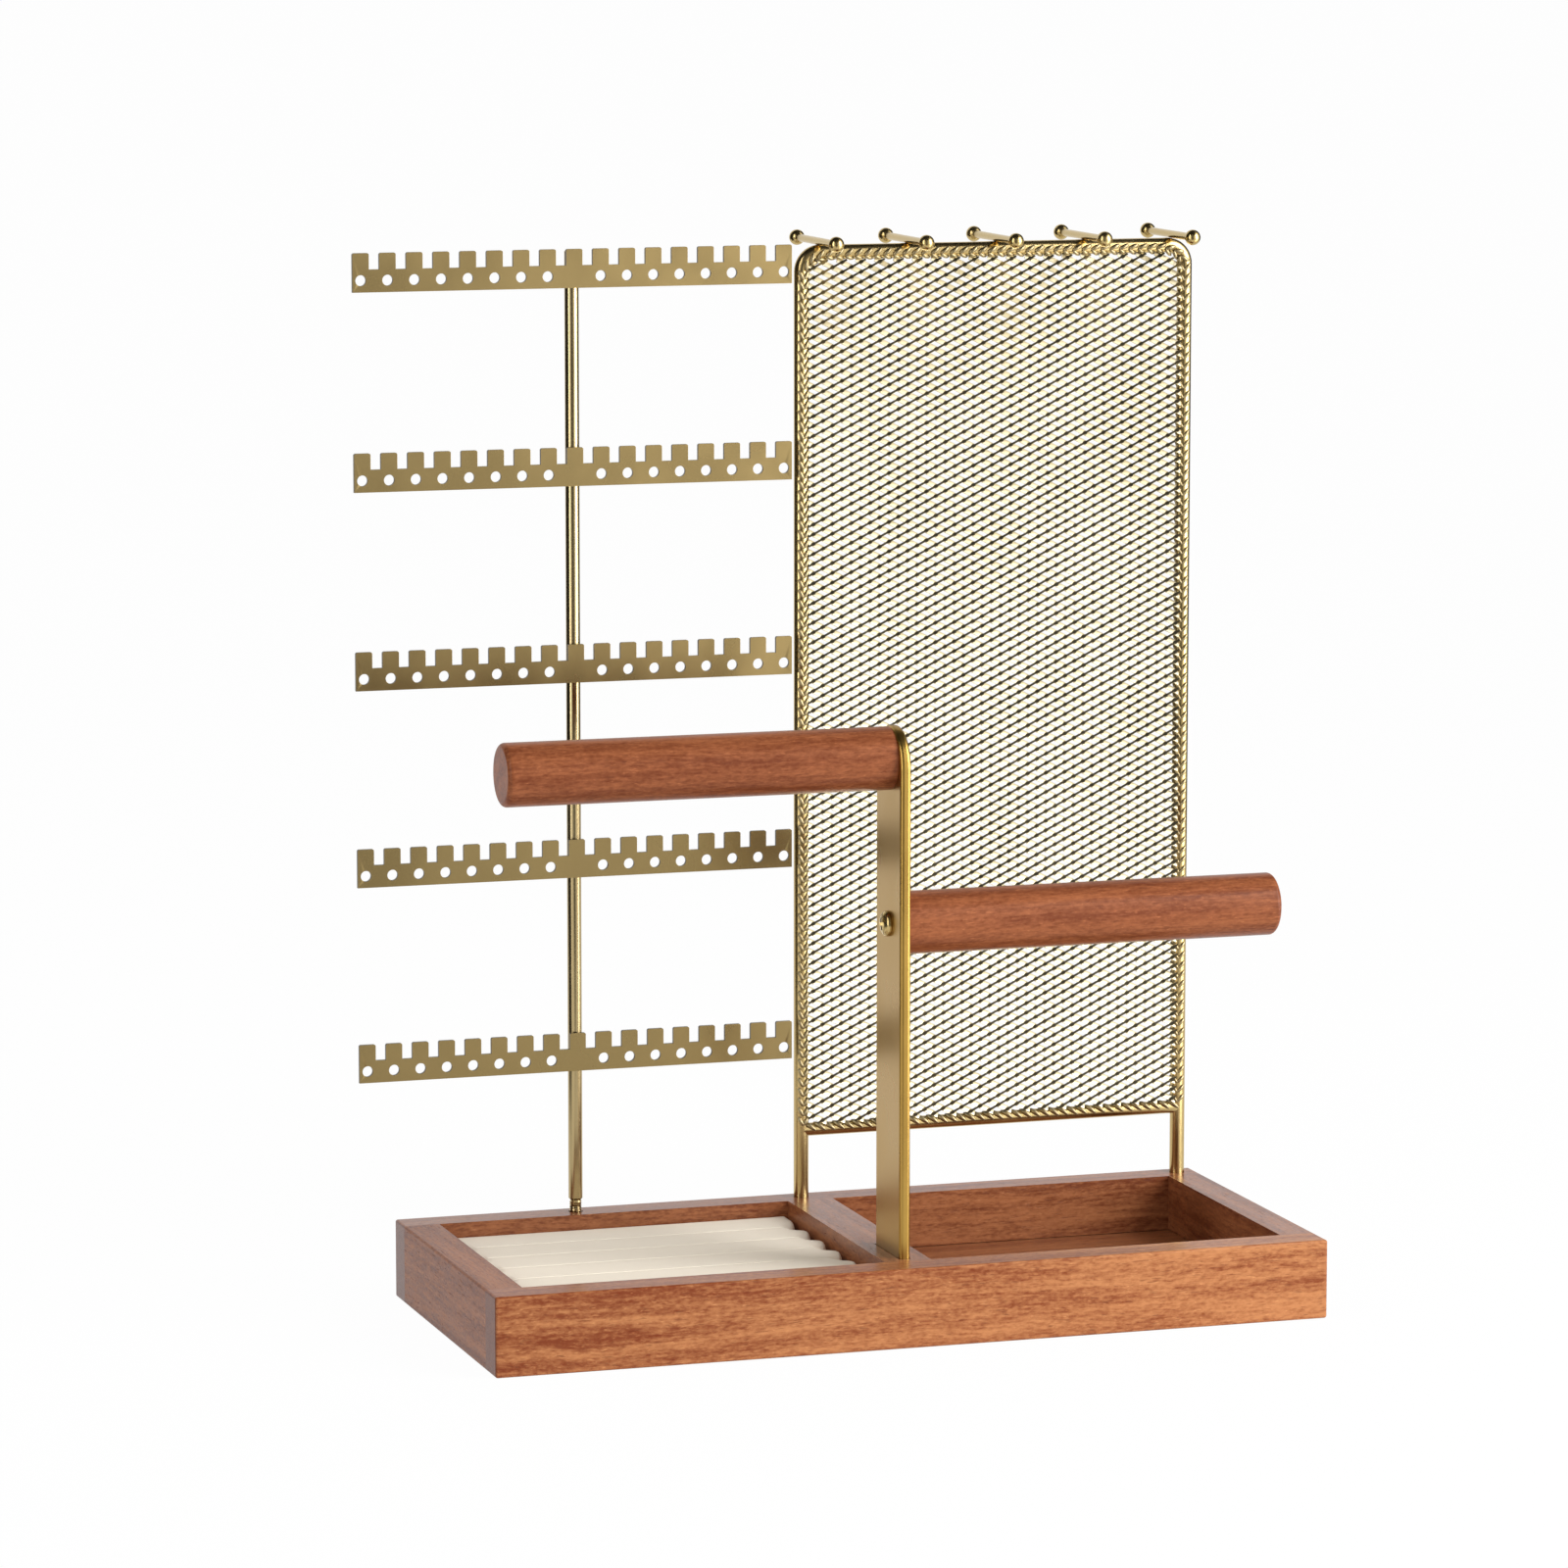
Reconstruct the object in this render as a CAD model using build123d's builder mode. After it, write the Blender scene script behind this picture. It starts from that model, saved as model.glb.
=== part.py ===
from build123d import *
import os
from math import hypot, radians, tan

# Jewellery stand: a divided wooden tray that carries an earring rack, a mesh panel with necklace pegs,
# two bracelet rods on a flat upright, and a lift-out ring pad.
# Millimetres, +Z up. The origin is the centre of the tray's underside and the front faces -Y.

LEFT, RIGHT = -1, 1
FRONT, REAR = -1, 1
STANDING = (Align.CENTER, Align.CENTER, Align.MIN)

# Tray of rails, divider and floor boards
tray_length = 270.0
tray_depth = 120.0
tray_height = 25.0
rail_thickness = 11.5
divider_width = 15.0
rail_edge_round = 0.8
floor_thickness = 3.0
floor_lift = 4.0
groove_depth = 2.5
groove_stop = 3.0
groove_clearance = 0.2

# Ring pad of velvet rolls on a stiff board
pad_clearance = 0.7
pad_seat_gap = 0.1
board_thickness = 1.5
pad_thickness = 11.7
roll_count = 6
roll_crown = 3.2
roll_end_length = 4.0
roll_end_drop = 2.4
roll_end_inset = 1.2

# Flat upright on its foot plate
strip_thickness = 3.5
strip_width = 24.0
strip_front_gap = 2.5
strip_edge_round = 1.2
strip_rise = 10.1
slot_clearance = 0.15
foot_side_wall = 1.5
foot_tail = 18.0
foot_thickness = 2.5
foot_recess = 0.3
foot_clearance = 0.2

# Wooden bracelet rods, their axes measured from the tray's top
rod_diameter = 19.6
rod_length = 123.5
rod_end_round = 1.6
upper_rod_rise = 154.7
lower_rod_rise = 103.2

# Screws
screw_clearance = 0.1
rod_screw_diameter = 4.0
rod_screw_head = 8.0
rod_screw_head_side = 0.7
rod_screw_head_height = 2.4
rod_screw_length = 26.0
foot_screw_diameter = 3.0
foot_screw_head = 5.6
foot_screw_spacing = 9.0
foot_screw_length = 14.0
countersink_angle = 90.0
leg_screw_diameter = 2.9
leg_screw_head = 5.6
leg_screw_head_side = 0.8
leg_screw_head_height = 2.2
leg_screw_head_clearance = 0.5
leg_screw_recess = 0.8
leg_screw_grip = 8.0

# Earring rack, its bars measured from the tray's top
rack_gap = 1.85
post_diameter = 4.5
post_neck_diameter = 4.0
post_neck_length = 18.7
post_neck_show = 4.2
post_top_drop = 0.6
neck_clearance = 0.05
neck_hole_clearance = 0.3
insert_diameter = 6.0
insert_clearance = 0.05
insert_depth = 4.0
insert_length = 12.0
bar_count = 5
bar_height = 12.2
bar_thickness = 1.2
bar_pitch = 62.2
lowest_bar_rise = 46.2
tooth_count = 17
tooth_width = 5.3
tooth_corner_chamfer = 0.5
notch_width = 3.3
notch_depth = 5.1
earring_hole_diameter = 3.4
earring_hole_height = 3.7

# Mesh panel in its bent rod frame, its rods' axes measured from the tray's top
frame_rod = 4.8
left_leg_offset = 1.3
right_leg_inset = 6.5
frame_rise = 304.4
frame_bend_radius = 6.0
leg_depth = 10.0
leg_clearance = 0.1
bottom_bar_rod = 4.2
bottom_bar_rise = 22.0
mesh_thickness = 0.8
net_columns = 5
net_rows = 25
net_strand = 1.3

# Necklace pegs on the frame's top rod
peg_count = 5
peg_inset = 5.0
peg_rod = 2.4
peg_ball = 5.0
peg_reach = 20.0

# Places worked out from the sizes above
half_length = tray_length / 2
half_depth = tray_depth / 2
inner_half_length = half_length - rail_thickness
inner_half_depth = half_depth - rail_thickness
rail_middle_y = half_depth - rail_thickness / 2
groove_height = floor_thickness + groove_clearance
tongue_length = groove_depth - groove_clearance
floor_top = floor_lift + floor_thickness

upper_rod_height = tray_height + upper_rod_rise
lower_rod_height = tray_height + lower_rod_rise
strip_front = -inner_half_depth + strip_front_gap
strip_back = strip_front + strip_width
strip_middle_y = strip_front + strip_width / 2
strip_top = upper_rod_height + strip_rise
foot_top = foot_recess + foot_thickness
foot_width = divider_width - 2 * foot_side_wall
foot_length = strip_width + foot_tail
foot_middle_y = strip_front + foot_length / 2
foot_screw_middle_y = strip_back + foot_tail / 2

left_leg_x = -left_leg_offset
right_leg_x = half_length - right_leg_inset
leg_spacing = right_leg_x - left_leg_x
leg_places = [(left_leg_x, rail_middle_y), (right_leg_x, rail_middle_y)]
leg_seat_height = tray_height - leg_depth
counterbore_depth = leg_screw_recess + leg_screw_head_height
frame_center_x = (left_leg_x + right_leg_x) / 2
frame_front_y = rail_middle_y - frame_rod / 2
frame_top_height = tray_height + frame_rise
bottom_bar_height = tray_height + bottom_bar_rise

tooth_pitch = tooth_width + notch_width
bar_length = tooth_count * tooth_width + (tooth_count - 1) * notch_width
post_x = left_leg_x - frame_rod / 2 - rack_gap - bar_length / 2
post_place = (post_x, rail_middle_y)
post_front_y = rail_middle_y - post_diameter / 2
post_shoulder = tray_height + post_neck_show
post_top = tray_height + lowest_bar_rise + (bar_count - 1) * bar_pitch + bar_height - post_top_drop
insert_top = tray_height - insert_depth

os.makedirs("parts", exist_ok=True)


def keep(part, name):
    """Label a finished piece and write it to its own file."""
    part.label = name
    export_step(part, f"parts/{name}.step")


def domed_screw(head, head_side, head_height, shank, length):
    """Screw on the Z axis, its head's underside at the origin and its shank pointing up."""
    dome = head_height - head_side
    dome_radius = (head**2 / 4 + dome**2) / (2 * dome)
    with BuildPart() as screw:
        with BuildSketch(Plane.XZ):
            with BuildLine():
                Polyline((0, -head_height), (0, length), (shank / 2, length), (shank / 2, 0))
                Polyline((shank / 2, 0), (head / 2, 0), (head / 2, -head_side))
                RadiusArc((head / 2, -head_side), (0, -head_height), dome_radius)
            make_face()
        revolve(axis=Axis.Z)
    return screw.part


def long_rail(side):
    """Front or rear rail with eased outer edges and the floor groove along its inner face."""
    with BuildPart() as rail:
        with BuildSketch(Plane.XY):
            with Locations((0, side * rail_middle_y)):
                Rectangle(tray_length, rail_thickness)
        extrude(amount=tray_height)
        outer_face = rail.faces().sort_by(Axis.Y)[-1 if side == REAR else 0]
        end_faces = rail.faces().filter_by(Axis.X)
        fillet(outer_face.edges() + end_faces.edges().filter_by(Axis.Y), radius=rail_edge_round)
        with BuildSketch(Plane.XY.offset(floor_lift)):
            with Locations((0, side * inner_half_depth)):
                Rectangle(tray_length - 2 * groove_stop, 2 * groove_depth)
        extrude(amount=groove_height, mode=Mode.SUBTRACT)
    return rail.part


def end_rail(side):
    """Short rail with a groove for its floor board and a stub tongue at each end."""
    tongue_outer = half_length - groove_stop - groove_clearance
    tongue_inner = inner_half_length + groove_depth + groove_clearance
    with BuildPart() as rail:
        with BuildSketch(Plane.XY):
            with Locations((side * (half_length - rail_thickness / 2), 0)):
                Rectangle(rail_thickness, 2 * inner_half_depth)
        extrude(amount=tray_height)
        outer_face = rail.faces().sort_by(Axis.X)[-1 if side == RIGHT else 0]
        fillet(outer_face.edges().filter_by(Axis.Y), radius=rail_edge_round)
        with BuildSketch(Plane.XY.offset(floor_lift)):
            with Locations((side * inner_half_length, 0)):
                Rectangle(2 * groove_depth, 2 * inner_half_depth)
        extrude(amount=groove_height, mode=Mode.SUBTRACT)
        with BuildSketch(Plane.XY.offset(floor_lift)):
            with Locations((side * (tongue_outer + tongue_inner) / 2, 0)):
                Rectangle(tongue_outer - tongue_inner, 2 * (inner_half_depth + tongue_length))
        extrude(amount=floor_thickness)
    return rail.part


# Front rail
keep(long_rail(FRONT), "front_rail")

# Rear rail with the hole for the post's insert and the seats of the two frame legs
rear_blank = long_rail(REAR)
with BuildPart() as rear_rail:
    add(rear_blank)
    with BuildSketch(Plane.XY):
        with Locations(post_place):
            Circle(insert_diameter / 2 + insert_clearance)
    extrude(amount=insert_top, mode=Mode.SUBTRACT)
    with BuildSketch(Plane.XY):
        with Locations(post_place):
            Circle(post_neck_diameter / 2 + neck_hole_clearance)
        with Locations(leg_places):
            Circle(leg_screw_diameter / 2 + screw_clearance)
    extrude(amount=tray_height, mode=Mode.SUBTRACT)
    with BuildSketch(Plane.XY.offset(leg_seat_height)):
        with Locations(leg_places):
            Circle(frame_rod / 2 + leg_clearance)
    extrude(amount=leg_depth, mode=Mode.SUBTRACT)
    with BuildSketch(Plane.XY):
        with Locations(leg_places):
            Circle(leg_screw_head / 2 + leg_screw_head_clearance)
    extrude(amount=counterbore_depth, mode=Mode.SUBTRACT)
keep(rear_rail.part, "rear_rail")

# End rails
keep(end_rail(LEFT), "left_end_rail")
keep(end_rail(RIGHT), "right_end_rail")

# Divider with grooves for both floors, stub tongues, the upright's slot and the foot plate's recess
with BuildPart() as divider:
    with BuildSketch(Plane.XY):
        Rectangle(divider_width, 2 * inner_half_depth)
    extrude(amount=tray_height)
    with BuildSketch(Plane.XY.offset(floor_lift)):
        with GridLocations(divider_width, 0, 2, 1):
            Rectangle(2 * groove_depth, 2 * inner_half_depth)
    extrude(amount=groove_height, mode=Mode.SUBTRACT)
    with BuildSketch(Plane.XY.offset(floor_lift)):
        tongue_width = divider_width - 2 * (groove_depth + groove_clearance)
        Rectangle(tongue_width, 2 * (inner_half_depth + tongue_length))
    extrude(amount=floor_thickness)
    with BuildSketch(Plane.XY):
        with Locations((0, strip_middle_y)):
            Rectangle(strip_thickness + 2 * slot_clearance, strip_width + 2 * slot_clearance)
    extrude(amount=tray_height, mode=Mode.SUBTRACT)
    with BuildSketch(Plane.XY):
        with Locations((0, foot_middle_y)):
            Rectangle(foot_width + 2 * foot_clearance, foot_length + 2 * foot_clearance)
    extrude(amount=foot_top, mode=Mode.SUBTRACT)
    with BuildSketch(Plane.XY):
        with Locations((0, foot_screw_middle_y)):
            with GridLocations(0, foot_screw_spacing, 1, 2):
                Circle(foot_screw_diameter / 2 + screw_clearance)
    extrude(amount=foot_recess + foot_screw_length + screw_clearance, mode=Mode.SUBTRACT)
keep(divider.part, "divider")

# Floor boards, one in each compartment
floor_outer = inner_half_length + tongue_length
floor_inner = divider_width / 2 - tongue_length
for side, name in ((LEFT, "left_floor"), (RIGHT, "right_floor")):
    with BuildPart() as floor_board:
        with BuildSketch(Plane.XY.offset(floor_lift)):
            with Locations((side * (floor_outer + floor_inner) / 2, 0)):
                Rectangle(floor_outer - floor_inner, 2 * (inner_half_depth + tongue_length))
        extrude(amount=floor_thickness)
    keep(floor_board.part, name)

# Backing board of the ring pad
pad_left = -inner_half_length + pad_clearance
pad_right = -divider_width / 2 - pad_clearance
pad_half_depth = inner_half_depth - pad_clearance
board_bottom = floor_top + pad_seat_gap
pad_bottom = board_bottom + board_thickness
with BuildPart() as cushion_board:
    with BuildSketch(Plane.XY.offset(board_bottom)):
        with Locations(((pad_left + pad_right) / 2, 0)):
            Rectangle(pad_right - pad_left, 2 * pad_half_depth)
    extrude(amount=board_thickness)
keep(cushion_board.part, "cushion_board")


def pad_section(x, inset, drop):
    """Outline of the ring pad across its rolls, at one place along them."""
    half_width = pad_half_depth - inset
    crease = pad_bottom + pad_thickness - roll_crown - drop
    crest = crease + roll_crown
    roll_width = 2 * half_width / roll_count
    with BuildSketch(Plane.YZ.offset(x)) as section:
        with BuildLine():
            Polyline((-half_width, crease), (-half_width, pad_bottom), (half_width, pad_bottom))
            Line((half_width, pad_bottom), (half_width, crease))
            for roll in range(roll_count):
                start = -half_width + roll * roll_width
                ThreePointArc((start, crease), (start + roll_width / 2, crest), (start + roll_width, crease))
        make_face()
    return section.sketch


# Ring pad: rolls side by side, lower and drawn in at their two ends
pad_sections = [
    pad_section(pad_left, roll_end_inset, roll_end_drop),
    pad_section(pad_left + roll_end_length, 0, 0),
    pad_section(pad_right - roll_end_length, 0, 0),
    pad_section(pad_right, roll_end_inset, roll_end_drop),
]
with BuildPart() as ring_cushion:
    loft(sections=pad_sections, ruled=True)
keep(ring_cushion.part, "ring_cushion")

# Flat upright: a round-topped strip welded to its foot plate
strip_round_height = strip_top - strip_width / 2
with BuildPart() as upright:
    with BuildSketch(Plane.YZ):
        with Locations((strip_middle_y, strip_round_height)):
            Circle(strip_width / 2)
        with Locations((strip_middle_y, foot_top)):
            Rectangle(strip_width, strip_round_height - foot_top, align=(Align.CENTER, Align.MIN))
    extrude(amount=strip_thickness / 2, both=True)
    strip_edges = upright.faces().filter_by(Axis.X).edges()
    fillet(strip_edges - strip_edges.group_by(Axis.Z)[0], radius=strip_edge_round)
    with BuildSketch(Plane.XY.offset(foot_recess)):
        with Locations((0, foot_middle_y)):
            Rectangle(foot_width, foot_length)
    extrude(amount=foot_thickness)
    with BuildSketch(Plane.YZ):
        with Locations((strip_middle_y, upper_rod_height), (strip_middle_y, lower_rod_height)):
            Circle(rod_screw_diameter / 2 + screw_clearance)
    extrude(amount=strip_thickness, both=True, mode=Mode.SUBTRACT)
    with Locations(Plane(origin=(0, foot_screw_middle_y, foot_recess), z_dir=(0, 0, -1))):
        with GridLocations(0, foot_screw_spacing, 1, 2):
            CounterSinkHole(
                radius=foot_screw_diameter / 2 + screw_clearance,
                counter_sink_radius=foot_screw_head / 2 + screw_clearance,
                counter_sink_angle=countersink_angle,
            )
keep(upright.part, "upright")

# Screws that hold the foot plate under the divider
foot_screw_cone = (foot_screw_head - foot_screw_diameter) / 2 / tan(radians(countersink_angle / 2))
with BuildPart() as foot_screws:
    with Locations((0, foot_screw_middle_y, foot_recess)):
        with GridLocations(0, foot_screw_spacing, 1, 2):
            Cone(foot_screw_head / 2, foot_screw_diameter / 2, foot_screw_cone, align=STANDING)
            Cylinder(foot_screw_diameter / 2, foot_screw_length, align=STANDING)
keep(foot_screws.part, "foot_screws")

# Bracelet rods, one on each side of the upright
rod_hole_depth = rod_screw_length - strip_thickness + screw_clearance
for side, height, name in ((LEFT, upper_rod_height, "upper_rod"), (RIGHT, lower_rod_height, "lower_rod")):
    rod_plane = Plane.YZ.offset(side * strip_thickness / 2)
    with BuildPart() as rod:
        with BuildSketch(rod_plane):
            with Locations((strip_middle_y, height)):
                Circle(rod_diameter / 2)
        extrude(amount=side * rod_length)
        fillet(rod.edges().sort_by(Axis.X)[-1 if side == RIGHT else 0], radius=rod_end_round)
        with BuildSketch(rod_plane):
            with Locations((strip_middle_y, height)):
                Circle(rod_screw_diameter / 2 + screw_clearance)
        extrude(amount=side * rod_hole_depth, mode=Mode.SUBTRACT)
    keep(rod.part, name)

# Domed screws, each on the face of the upright that is opposite to its rod
rod_screw_blank = domed_screw(
    rod_screw_head, rod_screw_head_side, rod_screw_head_height, rod_screw_diameter, rod_screw_length
)
with BuildPart() as rod_screws:
    for side, height in ((LEFT, upper_rod_height), (RIGHT, lower_rod_height)):
        head_seat = (-side * strip_thickness / 2, strip_middle_y, height)
        with Locations(Plane(origin=head_seat, z_dir=(side, 0, 0))):
            add(rod_screw_blank)
keep(rod_screws.part, "rod_screws")

# Earring post with its threaded neck
with BuildPart() as earring_post:
    with BuildSketch(Plane.XY.offset(post_shoulder)):
        with Locations(post_place):
            Circle(post_diameter / 2)
    extrude(amount=post_top - post_shoulder)
    with BuildSketch(Plane.XY.offset(post_shoulder)):
        with Locations(post_place):
            Circle(post_neck_diameter / 2)
    extrude(amount=-post_neck_length)
keep(earring_post.part, "earring_post")

# Threaded insert, pressed into the rear rail from below
with BuildPart() as post_insert:
    with BuildSketch(Plane.XY.offset(insert_top)):
        with Locations(post_place):
            Circle(insert_diameter / 2)
            Circle(post_neck_diameter / 2 + neck_clearance, mode=Mode.SUBTRACT)
    extrude(amount=-insert_length)
keep(post_insert.part, "post_insert")

# Toothed earring bars, the first one at the top, with a hole under each tooth but the middle one
for bar in range(bar_count):
    bar_bottom = tray_height + lowest_bar_rise + (bar_count - 1 - bar) * bar_pitch
    with BuildPart() as earring_bar:
        with BuildSketch(Plane.XZ.offset(-post_front_y)) as bar_outline:
            with Locations((post_x, bar_bottom)):
                Rectangle(bar_length, bar_height, align=(Align.CENTER, Align.MIN))
            with Locations((post_x, bar_bottom + bar_height)):
                with GridLocations(tooth_pitch, 0, tooth_count - 1, 1):
                    Rectangle(notch_width, 2 * notch_depth, mode=Mode.SUBTRACT)
            chamfer(bar_outline.vertices().group_by(Axis.Y)[-1], length=tooth_corner_chamfer)
            for tooth in range(tooth_count):
                tooth_place = tooth - (tooth_count - 1) / 2
                if tooth_place != 0:
                    with Locations((post_x + tooth_place * tooth_pitch, bar_bottom + earring_hole_height)):
                        Circle(earring_hole_diameter / 2, mode=Mode.SUBTRACT)
        extrude(amount=bar_thickness)
    keep(earring_bar.part, f"earring_bar_{bar + 1}")

# Frame of the mesh panel: one rod bent to an upside-down U, its legs drilled for the screws
with BuildPart() as mesh_frame:
    with BuildLine(Plane.XZ.offset(-rail_middle_y)) as frame_path:
        FilletPolyline(
            (left_leg_x, leg_seat_height),
            (left_leg_x, frame_top_height),
            (right_leg_x, frame_top_height),
            (right_leg_x, leg_seat_height),
            radius=frame_bend_radius,
        )
    with BuildSketch(Plane.XY.offset(leg_seat_height)):
        with Locations(leg_places[0]):
            Circle(frame_rod / 2)
    sweep(path=frame_path.line)
    with BuildSketch(Plane.XY.offset(leg_seat_height)):
        with Locations(leg_places):
            Circle(leg_screw_diameter / 2 + screw_clearance)
    extrude(amount=leg_screw_grip, mode=Mode.SUBTRACT)
keep(mesh_frame.part, "mesh_frame")

# Bottom bar of the mesh panel, its ends coped to the round legs
with BuildPart() as mesh_bottom_bar:
    with BuildSketch(Plane.YZ.offset(left_leg_x)):
        with Locations((frame_front_y + bottom_bar_rod / 2, bottom_bar_height)):
            Circle(bottom_bar_rod / 2)
    extrude(amount=leg_spacing)
    with BuildSketch(Plane.XY.offset(bottom_bar_height - bottom_bar_rod)):
        with Locations(leg_places):
            Circle(frame_rod / 2)
    extrude(amount=2 * bottom_bar_rod, mode=Mode.SUBTRACT)
keep(mesh_bottom_bar.part, "mesh_bottom_bar")

# Diamond gaps of the mesh, in two staggered sets inside the window of the rods
mesh_height = frame_top_height - bottom_bar_height
mesh_middle = (frame_center_x, bottom_bar_height + mesh_height / 2)
window_width = leg_spacing - frame_rod
window_height = mesh_height - frame_rod
diamond_width = window_width / net_columns
diamond_height = window_height / net_rows
diamond_side = hypot(diamond_width, diamond_height)
gap_half_width = (diamond_width - net_strand * diamond_side / diamond_height) / 2
gap_half_height = (diamond_height - net_strand * diamond_side / diamond_width) / 2
with BuildSketch() as net_gaps:
    for extra in (0, 1):
        with GridLocations(diamond_width, diamond_height, net_columns + extra, net_rows + extra):
            Polygon((-gap_half_width, 0), (0, -gap_half_height), (gap_half_width, 0), (0, gap_half_height))
    Rectangle(window_width, window_height, mode=Mode.INTERSECT)

# Mesh: one holed sheet on the front of the rods
with BuildPart() as mesh_panel:
    with BuildSketch(Plane.XZ.offset(-frame_front_y)) as mesh_outline:
        with Locations(mesh_middle):
            Rectangle(leg_spacing, mesh_height)
        fillet(mesh_outline.vertices().group_by(Axis.Y)[-1], radius=frame_bend_radius)
        with Locations(mesh_middle):
            add(net_gaps.sketch, mode=Mode.SUBTRACT)
    extrude(amount=mesh_thickness)
keep(mesh_panel.part, "mesh_panel")

# Screws from below into the frame's legs
leg_screw_length = leg_seat_height + leg_screw_grip - counterbore_depth - screw_clearance
leg_screw_blank = domed_screw(
    leg_screw_head, leg_screw_head_side, leg_screw_head_height, leg_screw_diameter, leg_screw_length
)
with BuildPart() as leg_screws:
    with Locations([(x, y, counterbore_depth) for x, y in leg_places]):
        add(leg_screw_blank)
keep(leg_screws.part, "leg_screws")

# Necklace pegs across the top rod, a ball on each end
peg_height = frame_top_height + (frame_rod + peg_rod) / 2
peg_pitch = (leg_spacing - 2 * peg_inset) / (peg_count - 1)
for peg in range(peg_count):
    peg_x = left_leg_x + peg_inset + peg * peg_pitch
    with BuildPart() as necklace_peg:
        with BuildSketch(Plane.XZ.offset(-rail_middle_y)):
            with Locations((peg_x, peg_height)):
                Circle(peg_rod / 2)
        extrude(amount=peg_reach, both=True)
        with Locations((peg_x, rail_middle_y, peg_height)):
            with GridLocations(0, 2 * peg_reach, 1, 2):
                Sphere(peg_ball / 2)
    keep(necklace_peg.part, f"necklace_peg_{peg + 1}")
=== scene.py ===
"""Looks of a tabletop jewelry stand: wooden tray, gold metal racks, mesh panel and velvet ring pad."""

import logging
import math
from dataclasses import dataclass
from enum import Enum

import bmesh
import bpy
import numpy as np
from mathutils import Matrix, Vector


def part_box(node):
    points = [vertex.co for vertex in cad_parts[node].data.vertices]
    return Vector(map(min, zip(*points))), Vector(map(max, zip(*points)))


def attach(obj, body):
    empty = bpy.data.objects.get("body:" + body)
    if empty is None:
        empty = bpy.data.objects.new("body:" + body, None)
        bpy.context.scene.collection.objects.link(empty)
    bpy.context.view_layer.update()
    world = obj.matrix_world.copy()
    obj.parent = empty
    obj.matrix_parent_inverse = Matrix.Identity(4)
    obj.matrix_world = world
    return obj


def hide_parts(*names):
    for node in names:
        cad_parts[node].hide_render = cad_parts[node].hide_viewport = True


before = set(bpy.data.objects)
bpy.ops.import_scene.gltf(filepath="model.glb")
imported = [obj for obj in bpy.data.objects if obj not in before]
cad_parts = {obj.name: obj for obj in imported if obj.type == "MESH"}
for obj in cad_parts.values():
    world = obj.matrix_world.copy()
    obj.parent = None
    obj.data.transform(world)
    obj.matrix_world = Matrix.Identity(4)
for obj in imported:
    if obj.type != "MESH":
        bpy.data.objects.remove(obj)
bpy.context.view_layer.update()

MM = 0.001
# Name of the face mark that says where painted shade goes.
SHADE_MARK = "edge"
FLOAT, INTEGER, VECTOR, COLOR = "NodeSocketFloat", "NodeSocketInt", "NodeSocketVector", "NodeSocketColor"
OBJECT, GEOMETRY, MATERIAL = "NodeSocketObject", "NodeSocketGeometry", "NodeSocketMaterial"
EFFECT = {"Color": COLOR, "Roughness": FLOAT, "Height": FLOAT}
SQUARE = ((-1, -1), (1, -1), (1, 1), (-1, 1))
WHITE = (1.0, 1.0, 1.0)

Color = tuple[float, float, float]
Point = tuple[float, float, float]
Shape = tuple[list, list]
Socket = bpy.types.NodeSocket
Tree = bpy.types.NodeTree
Material = bpy.types.Material
Piece = bpy.types.Object
log = logging.getLogger("jewelry_stand")


class GrainAxis(Enum):
    """Direction of the wood's grain, as the turn about Z that lays it along X."""

    ALONG_X = 0.0
    ALONG_Y = math.pi / 2


def set_value(socket: Socket, value: object) -> None:
    """Set an input socket, a colour with full alpha."""
    socket.default_value = (*value, 1.0) if socket.type == "RGBA" else value


def new_material(name: str, values: dict[str, object]) -> tuple[Material, bpy.types.Node]:
    """Make a material with a Principled shader.

    Args:
        name: the material's name.
        values: constant values of the shader's sockets.

    Returns:
        The material and its shader.
    """
    made = bpy.data.materials.new(name)
    made.use_nodes = True
    shader = made.node_tree.nodes["Principled BSDF"]
    for label, value in values.items():
        set_value(shader.inputs[label], value)
    return made, shader


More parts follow.
